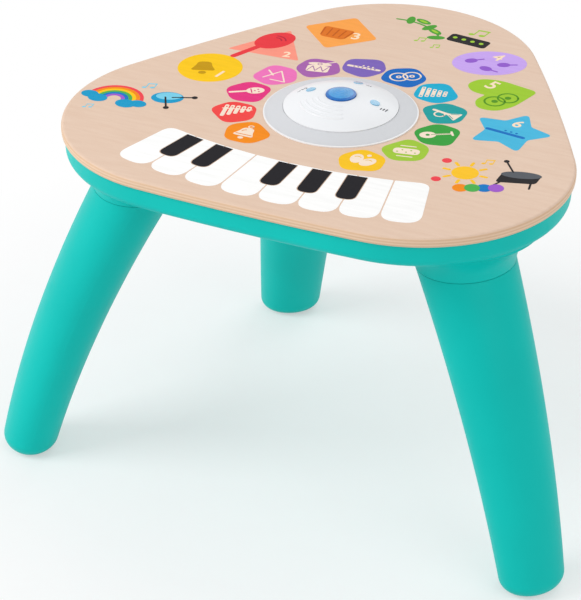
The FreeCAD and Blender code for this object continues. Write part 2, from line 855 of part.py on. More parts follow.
def build_ring_and_dome():
    """The light ring on the top, the cup through it, and the dome that closes it."""
    inner = "dome_edge_radius + dome_fit"
    foot = RING_RADIUS + " - ring_wall"
    keep(
        turned(
            "light_ring",
            [
                (RING_RADIUS, "table_height"),
                (RING_RADIUS, "table_height + ring_edge_height"),
                (inner, "table_height + ring_rise"),
                (inner, "table_height + ring_rise - ring_wall"),
                (CUP_RADIUS + " + dome_fit", ring_under(CUP_RADIUS + " + dome_fit")),
                (CUP_FLANGE_RADIUS + " + ring_recess_gap", "table_height + cup_flange_thickness + dome_fit"),
                (foot, "table_height + cup_flange_thickness + dome_fit"),
                (foot, "table_height"),
            ],
        ),
        "light_ring",
    )
    bowl = turned(
        "cup_form",
        [
            ("cup_lead_hole_radius", CUP_FLOOR),
            (CUP_RADIUS, CUP_FLOOR),
            (CUP_RADIUS, "table_height"),
            (CUP_FLANGE_RADIUS, "table_height"),
            (CUP_FLANGE_RADIUS, "table_height + cup_flange_thickness"),
            (CUP_RADIUS + " - cup_wall", "table_height + cup_flange_thickness"),
            (CUP_RADIUS + " - cup_wall", CUP_FLOOR + " + cup_wall"),
            ("cup_lead_hole_radius", CUP_FLOOR + " + cup_wall"),
        ],
    )
    posts = around(
        lambda x, y: cylinder(
            "dome_post_radius",
            "dome_post_height",
            x,
            y,
            CUP_FLOOR + " + cup_wall",
        ),
        DOME_POST_REACH,
        DOME_SCREW_AZIMUTHS,
    )
    holes = around(
        lambda x, y: cylinder(
            "dome_screw_radius + socket_fit", "cup_wall + dome_post_height", x, y, CUP_FLOOR
        ),
        DOME_POST_REACH,
        DOME_SCREW_AZIMUTHS,
    )
    holes += around(
        lambda x, y: cylinder(
            "dome_screw_head_radius + dome_fit", "dome_screw_head_height", x, y, CUP_FLOOR
        ),
        DOME_POST_REACH,
        DOME_SCREW_AZIMUTHS,
    )
    keep(cut(fuse(bowl, *posts), *holes), "dome_cup")

    cap = common(
        cylinder("dome_edge_radius", "dome_radius", "0", "0", DOME_BOARD_TOP),
        ball("dome_radius", "0", "0", DOME_CENTRE),
    )
    room = common(
        cylinder("dome_edge_radius - dome_wall", "dome_radius", "0", "0", DOME_BOARD_TOP),
        ball("dome_radius - dome_wall", "0", "0", DOME_CENTRE),
    )
    bosses = common(
        group(*around(
            lambda x, y: cylinder("dome_post_radius", "dome_radius", x, y, DOME_BOARD_TOP),
            DOME_POST_REACH,
            DOME_SCREW_AZIMUTHS,
        )),
        ball("dome_radius - dome_wall / 2", "0", "0", DOME_CENTRE),
    )
    openings = around(
        lambda x, y: cylinder("dome_screw_radius + socket_fit", "dome_screw_bite", x, y, DOME_BOARD_TOP),
        DOME_POST_REACH,
        DOME_SCREW_AZIMUTHS,
    )
    for alias, azimuth in LENS_PLACES:
        x, y = spot(alias, azimuth)
        openings.append(cylinder("lens_radius + socket_fit", "dome_radius", x, y, DOME_BOARD_TOP))
    openings.append(cylinder("button_radius + button_fit", "dome_radius", "0", "0", DOME_BOARD_TOP))
    keep(cut(fuse(cut(cap, room), bosses), *openings), "dome_cover")


def build_dome_inside():
    """The round board in the dome with its lights, switch and screws, the lenses and the button."""
    disc = cylinder(DOME_BOARD_RADIUS, "dome_board_thickness", "0", "0", DOME_BOARD)
    holes = around(
        lambda x, y: cylinder("dome_screw_radius + socket_fit", "dome_board_thickness", x, y, DOME_BOARD),
        DOME_POST_REACH,
        DOME_SCREW_AZIMUTHS,
    )
    keep(cut(disc, *holes), "dome_board")
    lights = []
    for index in range(RING_LIGHT_COUNT):
        x, y = spot(DOME_BOARD_RADIUS + " - light_side", (index + 0.5) * 360.0 / RING_LIGHT_COUNT)
        lights.append(block("light_side", "light_side", "light_height", x, y, DOME_BOARD_TOP))
    keep(group(*lights), "ring_lights")
    lights = []
    for alias, azimuth in LENS_PLACES:
        x, y = spot(alias, azimuth)
        lights.append(block("light_side", "light_side", "light_height", x, y, DOME_BOARD_TOP))
    keep(group(*lights), "mode_lights")

    def screw(x, y):
        head = cylinder("dome_screw_head_radius", "dome_screw_head_height", x, y, CUP_FLOOR)
        seat = CUP_FLOOR + " + dome_screw_head_height"
        length = "%s + dome_screw_bite - (%s)" % (DOME_BOARD_TOP, seat)
        return fuse(head, cylinder("dome_screw_radius", length, x, y, seat))

    keep(group(*around(screw, DOME_POST_REACH, DOME_SCREW_AZIMUTHS)), "dome_screws")
    lenses = []
    for alias, azimuth in LENS_PLACES:
        x, y = spot(alias, azimuth)
        rod = cylinder("lens_radius", "dome_radius", x, y, DOME_BOARD_TOP + " + light_height + dome_fit")
        lenses.append(common(rod, ball("dome_radius + lens_stand_out", "0", "0", DOME_CENTRE)))
    keep(group(*lenses), "icon_lenses")

    case = block("switch_side", "switch_side", "switch_body_height", "0", "0", DOME_BOARD_TOP)
    plunger = cylinder(
        "switch_plunger_radius", "switch_plunger_height", "0", "0", DOME_BOARD_TOP + " + switch_body_height"
    )
    keep(fuse(case, plunger), "button_switch")
    switch_top = "(%s + switch_body_height + switch_plunger_height)" % DOME_BOARD_TOP
    inside = "sqrt((dome_radius - dome_wall)^2 - (button_radius + button_flange_width)^2)"
    flange_top = "(%s + %s - button_gap)" % (DOME_CENTRE, inside)
    rim = "(%s + sqrt(dome_radius^2 - button_radius^2) + button_rim_stand_out)" % DOME_CENTRE
    crown = "((button_radius^2 + button_crown^2) / (2 * button_crown))"
    knob = common(
        cylinder("button_radius", "dome_radius", "0", "0", flange_top + " - button_flange_thickness"),
        ball(crown, "0", "0", "%s + button_crown - %s" % (rim, crown)),
    )
    flange = cylinder(
        "button_radius + button_flange_width",
        "button_flange_thickness",
        "0",
        "0",
        flange_top + " - button_flange_thickness",
    )
    tip = "(%s + button_travel + button_gap)" % switch_top
    stem = cylinder("button_stem_radius", "%s - %s" % (flange_top, tip), "0", "0", tip)
    keep(fuse(knob, flange, stem), "mode_button")
    under = "(%s - button_flange_thickness)" % flange_top
    rise = "%s - %s" % (under, DOME_BOARD_TOP)
    outside = cone("cone_foot_radius", "cone_head_radius", rise, "0", "0", DOME_BOARD_TOP)
    hollow = cone(
        "cone_foot_radius - cone_wall", "cone_head_radius - cone_wall", rise, "0", "0", DOME_BOARD_TOP
    )
    keep(cut(outside, hollow), "return_cone")


def build_tub():
    """The round housing under the tray, with its grille, door opening and board posts."""
    bowl = turned(
        "tub_form",
        [
            ("0", TUB_UNDER),
            ("tub_radius - tub_round", TUB_UNDER),
            ("tub_radius", TUB_UNDER + " + tub_round"),
            ("tub_radius", TRAY_UNDER + " - tub_wall"),
            (TUB_FLANGE_RADIUS, TRAY_UNDER + " - tub_wall"),
            (TUB_FLANGE_RADIUS, TRAY_UNDER),
            ("tub_radius - tub_wall", TRAY_UNDER),
            ("tub_radius - tub_wall", TUB_FLOOR + " + tub_round"),
            ("tub_radius - tub_wall - tub_round", TUB_FLOOR),
            ("0", TUB_FLOOR),
        ],
    )
    posts = [
        cylinder("board_post_radius", "board_post_height", x, y, TUB_FLOOR)
        for x, y in board_posts()
    ]
    collar_height = "speaker_gasket + speaker_plate"
    collar = cut(
        cylinder("speaker_radius + collar_wall + dome_fit", collar_height, "0", SPEAKER_Y, TUB_FLOOR),
        cylinder("speaker_radius + dome_fit", collar_height, "0", SPEAKER_Y, TUB_FLOOR),
    )
    holes = [cylinder("grille_hole_radius", "tub_wall", "0", SPEAKER_Y, TUB_UNDER)]
    for ring in range(1, GRILLE_RINGS + 1):
        for index in range(6 * ring):
            x, y = spot("%d * grille_ring_step" % ring, index * 60.0 / ring)
            holes.append(cylinder("grille_hole_radius", "tub_wall", x, SPEAKER_Y + " + " + y, TUB_UNDER))
    holes += around(
        lambda x, y: cylinder("tub_screw_radius + socket_fit", "tub_wall", x, y, TRAY_UNDER + " - tub_wall"),
        TUB_SCREW_REACH,
        tub_screw_azimuths(),
    )
    holes += [
        cylinder(
            "board_screw_radius + socket_fit", "board_screw_bite", x, y, BOARD_UNDER + " - board_screw_bite"
        )
        for x, y in board_posts()
    ]
    holes.append(
        block(
            DOOR_HIGH + " - " + DOOR_LOW + " + 2 * door_gap",
            DOOR_BREADTH + " + 2 * door_gap",
            "tub_wall",
            "(%s + %s) / 2" % (DOOR_LOW, DOOR_HIGH),
            "box_y",
            TUB_UNDER,
        )
    )
    holes.append(
        block(
            "power_knob_breadth + 2 * power_slot_play",
            "power_knob_length + power_travel + 2 * power_slot_play",
            "tub_wall",
            "power_x",
            "power_y + power_travel / 2",
            TUB_UNDER,
        )
    )
    keep(cut(fuse(bowl, collar, *posts), *holes), "bottom_housing")

    def screw(x, y):
        seat = TRAY_UNDER + " - tub_wall"
        head = cylinder(
            "tub_screw_head_radius", "tub_screw_head_height", x, y, seat + " - tub_screw_head_height"
        )
        length = "tub_wall + tray_wall + tub_boss_height - tub_screw_end_gap"
        return fuse(head, cylinder("tub_screw_radius", length, x, y, seat))

    keep(group(*around(screw, TUB_SCREW_REACH, tub_screw_azimuths())), "housing_screws")


def board_posts():
    """The corners of the main board where its posts stand."""
    x = "(board_length / 2 - board_post_inset)"
    near = "board_y - (board_breadth / 2 - board_post_inset)"
    far = "board_y + (board_breadth / 2 - board_post_inset)"
    return (("-" + x, near), (x, near), ("-" + x, far), (x, far))


def build_speaker():
    """The loudspeaker that faces the grille."""
    at = ("0", SPEAKER_Y)
    opening = "speaker_cone_radius + speaker_opening_margin"
    gasket = cylinder("speaker_radius", "speaker_gasket", *at, TUB_FLOOR)
    keep(cut(gasket, cylinder(opening, "speaker_gasket", *at, TUB_FLOOR)), "speaker_gasket")
    base = "(%s + speaker_gasket)" % TUB_FLOOR
    top = "(%s + speaker_plate)" % base
    flange = cut(
        cylinder("speaker_radius", "speaker_plate", *at, base),
        cylinder(opening, "speaker_plate", *at, base),
    )
    shoulder = "speaker_cone_radius + speaker_shoulder"
    room = cone(
        shoulder + " - speaker_basket_wall",
        "speaker_magnet_radius - speaker_basket_wall",
        "speaker_basket_depth - speaker_basket_wall",
        *at,
        top,
    )
    basket = cut(
        cone(shoulder, "speaker_magnet_radius", "speaker_basket_depth", *at, top),
        room,
        cylinder("speaker_coil_radius + speaker_coil_gap", "speaker_basket_depth", *at, top),
        *speaker_windows(top),
    )
    keep(fuse(flange, basket), "speaker_frame")
    seat = "(%s + speaker_basket_depth)" % top
    keep(cylinder("speaker_magnet_radius", "speaker_magnet_height", *at, seat), "speaker_magnet")
    inside = "speaker_coil_radius - speaker_paper"
    mouth = base + " + speaker_paper"
    paper = cut(
        cone("speaker_cone_radius", "speaker_coil_radius", "speaker_cone_depth", *at, mouth),
        cone("speaker_cone_radius - speaker_paper", inside, "speaker_cone_depth", *at, mouth),
    )
    neck = mouth + " + speaker_cone_depth"
    coil = cut(
        cylinder("speaker_coil_radius", "speaker_coil_length", *at, neck),
        cylinder(inside, "speaker_coil_length", *at, neck),
    )
    keep(fuse(paper, coil), "speaker_cone")
    roll = cut(
        cylinder(opening, "speaker_paper", *at, base),
        cylinder("speaker_cone_radius - speaker_roll_lap", "speaker_paper", *at, base),
    )
    keep(roll, "speaker_surround")
    cap_low = base + " + dust_cap_rise"
    cap = common(
        cylinder(inside + " - socket_fit", "dust_cap_height", *at, cap_low),
        ball("dust_cap_radius", *at, cap_low + " + dust_cap_radius"),
    )
    keep(cap, "speaker_dust_cap")


def speaker_windows(top):
    """The four windows in the loudspeaker's basket."""
    windows = []
    for azimuth in (45.0, 135.0, 225.0, 315.0):
        x, y = spot("speaker_window_reach", azimuth)
        windows.append(
            block(
                "speaker_window_side",
                "speaker_window_side",
                "speaker_window_height",
                x,
                SPEAKER_Y + " + " + y,
                top + " + speaker_window_rise",
            )
        )
    return windows


def cell_rows():
    """The Y expressions of the batteries' axes."""
    return ["box_y + %r * cell_pitch" % (index - (CELL_COUNT - 1) / 2.0) for index in range(CELL_COUNT)]


def build_batteries():
    """The battery box, its cells and their contacts."""
    room = "2 * cell_radius + box_headroom"
    shell = cut(
        block(
            BOX_LENGTH + " + 2 * box_wall",
            BOX_BREADTH + " + 2 * box_wall",
            room + " + box_wall",
            "0",
            "box_y",
            TUB_FLOOR,
        ),
        block(BOX_LENGTH, BOX_BREADTH, room, "0", "box_y", TUB_FLOOR),
    )
    lug = block(
        "door_screw_room",
        "door_lug_breadth",
        "door_lug_height",
        DOOR_SCREW_X,
        "box_y",
        TUB_FLOOR,
    )
    bore = cylinder(
        "door_screw_radius + door_screw_play", "door_lug_height", DOOR_SCREW_X, "box_y", TUB_FLOOR
    )
    keep(cut(lug, bore), "door_screw_lug")
    holes = []
    for y in door_tab_rows():
        holes.append(
            block(
                "2 * box_wall",
                "door_tab_breadth + 2 * door_gap",
                "door_tab_notch",
                "-(%s + box_wall) / 2" % BOX_LENGTH,
                y,
                TUB_FLOOR,
            )
        )
    keep(cut(shell, *holes), "battery_box")
    low = "-(cell_length + cell_tip_length) / 2"
    high = "(cell_length + cell_tip_length) / 2"
    buttons = []
    leaves = []
    for index, y in enumerate(cell_rows()):
        tip_right = index % 2 == 0
        can_start = low if tip_right else low + " + cell_tip_length"
        tip_start = high + " - cell_tip_length" if tip_right else low
        can = lying_cylinder("cell_radius", "cell_length", can_start, y, CELL_Z)
        tip = lying_cylinder("cell_tip_radius", "cell_tip_length", tip_start, y, CELL_Z)
        keep(fuse(can, tip), "battery_%d" % (index + 1))
        side = 1.0 if tip_right else -1.0
        buttons.append(contact_button(side, number(y)))
        leaves.append(contact_leaf(-side, number(y)))
    keep_shape(Part.makeCompound(buttons), "contact_buttons")
    keep_shape(Part.makeCompound(leaves), "contact_leaves")


def contact_button(side, y):
    """A flat contact on the box's end wall with a boss that meets a cell's tip."""
    wall = number(BOX_LENGTH) / 2.0
    end = (size("cell_length") + size("cell_tip_length")) / 2.0
    breadth = size("contact_breadth")
    height = size("contact_height")
    z = number(CELL_Z)
    corner = vector(wall - size("contact_thickness"), y - breadth / 2.0, z - height / 2.0)
    sheet_metal = Part.makeBox(size("contact_thickness"), breadth, height, corner)
    boss = Part.makeCylinder(
        size("cell_tip_radius"), wall - size("contact_thickness") - end, vector(end, y, z), vector(1, 0, 0)
    )
    shape = sheet_metal.fuse(boss)
    return shape if side > 0 else shape.mirror(vector(0, 0, 0), vector(1, 0, 0))


def contact_leaf(side, y):
    """A folded spring leaf between the box's end wall and a cell's flat end."""
    wall = number(BOX_LENGTH) / 2.0
    end = (size("cell_length") + size("cell_tip_length")) / 2.0
    half = size("contact_height") / 2.0
    middle = number(CELL_Z)
    gauge = size("contact_thickness")
    back = wall - gauge / 2.0
    front = end + gauge / 2.0
    bow = size("leaf_bow")
    flat = size("leaf_flat") / 2.0
    run = [
        (back, middle - half),
        (back, middle + half),
        (back - bow, middle + half + size("leaf_lean")),
        (front, middle + flat),
        (front, middle - flat),
        (front + bow, middle - half + bow),
    ]
    shape = bent_strip(run, gauge, y, size("contact_breadth"))
    return shape if side > 0 else shape.mirror(vector(0, 0, 0), vector(1, 0, 0))


def bent_strip(run, gauge, y, breadth):
    """A strip of sheet that follows a run of (x, z) points, mitred at its bends."""
    left = []
    right = []
    for index, (x, z) in enumerate(run):
        before = run[index - 1] if index else None
        after = run[index + 1] if index + 1 < len(run) else None
        ways = []
        for start, stop in ((before, (x, z)), ((x, z), after)):
            if start and stop:
                length = math.hypot(stop[0] - start[0], stop[1] - start[1])
                ways.append(((stop[0] - start[0]) / length, (stop[1] - start[1]) / length))
        normal_x = -sum(way[1] for way in ways) / len(ways)
        normal_z = sum(way[0] for way in ways) / len(ways)
        stretch = gauge / 2.0 / (normal_x * normal_x + normal_z * normal_z)
        left.append(vector(x + normal_x * stretch, y - breadth / 2.0, z + normal_z * stretch))
        right.append(vector(x - normal_x * stretch, y - breadth / 2.0, z - normal_z * stretch))
    ring = left + right[::-1] + left[:1]
    return Part.Face(Part.makePolygon(ring)).extrude(vector(0, breadth, 0))


def door_tab_rows():
    """The Y expressions of the door's two tabs, between the cells."""
    return ["box_y - cell_pitch / 2", "box_y + cell_pitch / 2"]


def build_door():
    """The battery door with its tabs, and its captive screw."""
    thickness = "(tub_wall - dome_fit)"
    leaf = block(
        DOOR_HIGH + " - " + DOOR_LOW,
        DOOR_BREADTH,
        thickness,
        "(%s + %s) / 2" % (DOOR_LOW, DOOR_HIGH),
        "box_y",
        TUB_UNDER,
    )
    tabs = []
    tab_z = TUB_FLOOR + " + dome_fit"
    root_x = DOOR_LOW + " + door_tab_root / 2"
    root_height = "(%s + door_tab_thickness - %s)" % (tab_z, TUB_UNDER)
    for y in door_tab_rows():
        tabs.append(block("door_tab_root", "door_tab_breadth", root_height, root_x, y, TUB_UNDER))
        tabs.append(
            block(
                "door_tab_length + door_tab_root",
                "door_tab_breadth",
                "door_tab_thickness",
                DOOR_LOW + " + (door_tab_root - door_tab_length) / 2",
                y,
                tab_z,
            )
        )
    holes = [
        cylinder("door_screw_radius + socket_fit", "tub_wall", DOOR_SCREW_X, "box_y", TUB_UNDER),
        cylinder(
            "door_screw_head_radius + dome_fit", "door_screw_head_height", DOOR_SCREW_X, "box_y", TUB_UNDER
        ),
    ]
    keep(cut(fuse(leaf, *tabs), *holes), "battery_door")
    head = cylinder("door_screw_head_radius", "door_screw_head_height", DOOR_SCREW_X, "box_y", TUB_UNDER)
    shank = cylinder(
        "door_screw_radius", "tub_wall + door_screw_bite", DOOR_SCREW_X, "box_y", TUB_UNDER
    )
    slot = block(
        "2 * door_screw_head_radius", "door_screw_slot", "door_screw_slot", DOOR_SCREW_X, "box_y", TUB_UNDER
    )
    keep(cut(fuse(head, shank), slot), "door_screw")


def build_power_switch():
    """The slide switch under the table and its knob, which rests at off."""
    case = block(
        "power_knob_breadth + 2 * power_foot_lip + 2 * power_slot_play + 2 * power_body_wall",
        "power_knob_length + 2 * power_foot_lip + power_travel + 2 * power_slot_play + 2 * power_body_wall",
        "power_foot_thickness + 2 * power_slot_play + power_body_wall",
        "power_x",
        "power_y + power_travel / 2",
        TUB_FLOOR,
    )
    room = block(
        "power_knob_breadth + 2 * power_foot_lip + 2 * power_slot_play",
        "power_knob_length + 2 * power_foot_lip + power_travel + 2 * power_slot_play",
        "power_foot_thickness + 2 * power_slot_play",
        "power_x",
        "power_y + power_travel / 2",
        TUB_FLOOR,
    )
    keep(cut(case, room), "power_switch")
    grip = block(
        "power_knob_breadth",
        "power_knob_length",
        "tub_wall + power_knob_stand_out + power_slot_play",
        "power_x",
        "power_y",
        TUB_UNDER + " - power_knob_stand_out",
    )
    sole = block(
        "power_knob_breadth + 2 * power_foot_lip",
        "power_knob_length + 2 * power_foot_lip",
        "power_foot_thickness",
        "power_x",
        "power_y",
        TUB_FLOOR + " + power_slot_play",
    )
    keep(fuse(grip, sole), "power_knob")


def build_board():
    """The main board with its chip, capacitors, sockets and screws."""
    board = block("board_length", "board_breadth", "board_thickness", "0", "board_y", BOARD_UNDER)
    holes = [
        cylinder("board_screw_radius + socket_fit", "board_thickness", x, y, BOARD_UNDER)
        for x, y in board_posts()
    ]
    keep(cut(board, *holes), "main_board")
    keep(block("chip_side", "chip_side", "chip_height", "chip_x", "board_y", BOARD_TOP), "sound_chip")
    cans = [
        cylinder("capacitor_radius", "capacitor_height", x, "capacitor_y", BOARD_TOP)
        for x in ("capacitor_x - capacitor_pitch / 2", "capacitor_x + capacitor_pitch / 2")
    ]
    keep(group(*cans), "capacitors")
    mouths = [
        block("socket_length", "socket_breadth", "socket_rise", x, y, BOARD_TOP) for x, y in SOCKETS.values()
    ]
    ribbon_mouth = "ribbon_breadth + ribbon_socket_margin"
    mouths.append(
        block("socket_breadth", ribbon_mouth, "socket_rise", "ribbon_socket_x", "board_y", BOARD_TOP)
    )
    keep(group(*mouths), "board_sockets")
    screws = []
    for x, y in board_posts():
        head = cylinder("board_screw_head_radius", "board_screw_head_height", x, y, BOARD_TOP)
        length = "board_thickness + board_screw_bite"
        shank = cylinder("board_screw_radius", length, x, y, BOARD_TOP + " - (%s)" % length)
        screws.append(fuse(head, shank))
    keep(group(*screws), "board_screws")


def lead(route, label):
    """A round lead along straight runs joined by tangent arcs."""
    points = [vector(*point) for point in route]
    edges = []
    start = points[0]
    for index in range(1, len(points) - 1):
        before = points[index] - points[index - 1]
        after = points[index + 1] - points[index]
        back = ARC_SHARE * min(before.Length, after.Length)
        inward = before.normalize()
        outward = after.normalize()
        turn = inward.getAngle(outward)
        radius = back / math.tan(turn / 2.0)
        print(label, "arc radius %.1f" % radius)
        enter = points[index] - inward * back
        leave = points[index] + outward * back
        toward = (outward - inward).normalize()
        middle = points[index] + toward * (radius / math.cos(turn / 2.0) - radius)
        edges.append(Part.LineSegment(start, enter).toShape())
        edges.append(Part.Arc(enter, middle, leave).toShape())
        start = leave
    edges.append(Part.LineSegment(start, points[-1]).toShape())
    path = Part.Wire(edges)
    ring = Part.Wire([Part.Circle(points[0], points[1] - points[0], size("lead_radius")).toShape()])
    tube = path.makePipeShell([ring], True, False)
    share = tube.Volume / (math.pi * size("lead_radius") ** 2 * path.Length)
    print(label, "length %.1f, volume share %.3f" % (path.Length, share))
    keep_shape(tube, label)


def build_leads():
    """The leads inside, each whole along its route, and the touch sheet's ribbon."""
    mouth = number(BOARD_TOP) + size("socket_rise")
    spots = {label: (number(x), number(y)) for label, (x, y) in SOCKETS.items()}
    x, y = spots["battery_lead"]
    wall = number(BOX_LENGTH) / 2.0 + size("box_wall")
    z = number(CELL_Z)
    row = number(cell_rows()[0])
    lead(
        [
            (-wall, row, z + 5.0),
            (-wall - 6.0, row, z + 5.0),
            (-wall - 11.0, row - 1.0, z + 12.0),
            (-wall - 12.0, row - 4.0, z + 22.0),
            (x - 5.0, y + 9.0, mouth + 7.0),
            (x, y, mouth + 6.5),
            (x, y, mouth),
        ],
        "battery_lead",
    )
    x, y = spots["speaker_lead"]
    rim = number(SPEAKER_Y) - size("speaker_radius") + 1.5
    seat = number(TUB_FLOOR) + size("speaker_gasket") + size("speaker_plate")
    lead(
        [
            (0.0, rim, seat),
            (0.0, rim, seat + 9.0),
            (1.0, rim + 1.0, seat + 20.0),
            (3.0, rim + 5.0, seat + 31.0),
            (7.0, rim + 15.0, seat + 37.0),
            (x, y - 7.0, mouth + 7.5),
            (x, y, mouth + 6.5),
            (x, y, mouth),
        ],
        "speaker_lead",
    )
    x, y = spots["dome_lead"]
    lead(
        [
            (0.0, 0.0, number(DOME_BOARD)),
            (0.0, 0.0, number(DOME_BOARD) - 9.0),
            (1.5, -1.0, mouth + 14.0),
            (5.0, -5.0, mouth + 8.0),
            (x, y, mouth + 7.0),
            (x, y, mouth),
        ],
        "dome_lead",
    )
    ribbon_x = size("ribbon_socket_x")
    under = number(PANEL_UNDER) - size("sensor_thickness") - size("ribbon_thickness") / 2.0
    run = [
        (66.0, under),
        (61.0, under),
        (54.0, under - 5.0),
        (46.0, under - 8.0),
        (ribbon_x + 4.0, under - 8.5),
        (ribbon_x, mouth + 6.0),
        (ribbon_x, mouth),
    ]
    keep_shape(
        bent_strip(run, size("ribbon_thickness"), size("board_y"), size("ribbon_breadth")), "sensor_ribbon"
    )


def save():
    """Check every object and write one STEP file for each piece."""
    doc.recompute()
    faults = []
    for item in doc.Objects:
        if "Invalid" in item.State or "Error" in item.State:
            faults.append("%s (%s): %s" % (item.Name, item.Label, item.State))
    for label, item in pieces.items():
        shape = item.Shape
        if shape.isNull() or not shape.isValid() or not shape.Solids:
            faults.append("%s has no valid solid" % label)
    if faults:
        raise RuntimeError("\n".join(faults))
    os.makedirs("parts", exist_ok=True)
    for label, item in pieces.items():
        item.Shape.exportStep(os.path.join("parts", label + ".step"))
        print(label, len(item.Shape.Solids), round(item.Shape.Volume / 1000.0, 2))


leg_lines = [LegLine(*leg) for leg in LEGS]
build_top()
build_tray(leg_lines)
build_legs(leg_lines)
build_panel_screws()
build_ring_and_dome()
build_dome_inside()
build_tub()
build_speaker()
build_batteries()
build_door()
build_power_switch()
build_board()
build_leads()
save()
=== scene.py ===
"""The finished look of a three-legged musical activity table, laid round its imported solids."""

import json
import logging
import math
from collections.abc import Callable, Iterable, Sequence
from dataclasses import dataclass, field
from enum import Enum
from typing import Protocol

import bmesh
import bpy
from mathutils import Matrix, Vector

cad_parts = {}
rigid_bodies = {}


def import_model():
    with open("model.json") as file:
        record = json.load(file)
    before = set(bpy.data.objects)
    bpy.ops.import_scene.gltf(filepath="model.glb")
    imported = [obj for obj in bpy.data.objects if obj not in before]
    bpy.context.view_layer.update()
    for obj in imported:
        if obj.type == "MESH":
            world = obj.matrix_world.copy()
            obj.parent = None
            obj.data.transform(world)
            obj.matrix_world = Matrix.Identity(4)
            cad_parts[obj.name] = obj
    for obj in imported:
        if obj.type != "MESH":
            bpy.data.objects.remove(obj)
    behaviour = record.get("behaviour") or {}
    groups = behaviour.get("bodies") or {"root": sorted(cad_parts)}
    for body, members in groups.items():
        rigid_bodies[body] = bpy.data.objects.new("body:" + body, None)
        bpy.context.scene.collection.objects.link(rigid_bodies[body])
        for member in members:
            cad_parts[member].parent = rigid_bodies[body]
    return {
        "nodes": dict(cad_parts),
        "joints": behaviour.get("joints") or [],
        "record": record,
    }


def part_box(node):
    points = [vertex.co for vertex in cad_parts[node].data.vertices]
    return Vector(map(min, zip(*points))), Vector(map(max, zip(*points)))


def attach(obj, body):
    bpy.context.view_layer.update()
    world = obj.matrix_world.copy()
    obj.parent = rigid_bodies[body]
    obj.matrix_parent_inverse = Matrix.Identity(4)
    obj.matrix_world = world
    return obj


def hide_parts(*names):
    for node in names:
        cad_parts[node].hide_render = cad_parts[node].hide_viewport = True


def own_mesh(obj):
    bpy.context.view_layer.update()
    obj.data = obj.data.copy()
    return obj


LOG = logging.getLogger("activity_table")

MM = 0.001
TABLE_BODY = "table"

Colour = tuple[int, int, int]
Spot = tuple[float, float]
Outline = list[Spot]
Socket = bpy.types.NodeSocket
Material = bpy.types.Material


def clear_start_scene() -> None:
    """Remove the cube, lamp and camera that a new file may hold."""
    for item in list(bpy.data.objects):
        bpy.data.objects.remove(item)


clear_start_scene()
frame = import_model()


def light_of(colour: Colour) -> tuple[float, float, float, float]:
    """Turn a screen colour of 0 to 255 into linear light.

    Args:
        colour: Red, green and blue as a screen shows them.

    Returns:
        The linear colour with full alpha.
    """
    linear = []
    for channel in colour:
        share = channel / 255.0
        linear.append(share / 12.92 if share <= 0.04045 else ((share + 0.055) / 1.055) ** 2.4)
    return (linear[0], linear[1], linear[2], 1.0)


def shade(colour: Colour, factor: float) -> Colour:
    """Darken or lighten a colour by one factor.

    Args:
        colour: The screen colour.
        factor: Below 1 darkens, above 1 lightens.

    Returns:
        The new screen colour.
    """
    return tuple(min(255, round(channel * factor)) for channel in colour)


class NodeMaker:
    """Short calls for the nodes of one tree."""

    def __init__(self, tree: bpy.types.NodeTree) -> None:
        """Take the tree to work on."""
        self.tree = tree

    def add(self, kind: str, inputs: dict | None = None, **settings: object) -> bpy.types.Node:
        """Add one node.

        Args:
            kind: The node's type name.
            inputs: Values or sockets for its inputs, by name or number.
            settings: Values for its own properties.

        Returns:
            The node.
        """
        node = self.tree.nodes.new(kind)
        for key, value in settings.items():
            setattr(node, key, value)
        for key, value in (inputs or {}).items():
            self.feed(node.inputs[key], value)
        return node

    def feed(self, socket: Socket, value: object) -> None:
        """Link a socket to another, or set its value.

        Args:
            socket: The input to fill.
            value: The socket that feeds it, or a plain value.
        """
        if isinstance(value, Socket):
            self.tree.links.new(value, socket)
        else:
            socket.default_value = value

    def math(self, operation: str, first: object, second: object = 0.0) -> Socket:
        """One sum on two values."""
        return self.add("ShaderNodeMath", {0: first, 1: second}, operation=operation).outputs[0]

    def seen_rays(self) -> Socket:
        """1 for what the camera sees, directly, in gloss or through clear parts."""
        rays = self.add("ShaderNodeLightPath").outputs
        seen = self.math("MAXIMUM", rays["Is Camera Ray"], rays["Is Glossy Ray"])
        return self.math("MAXIMUM", seen, rays["Is Transmission Ray"])


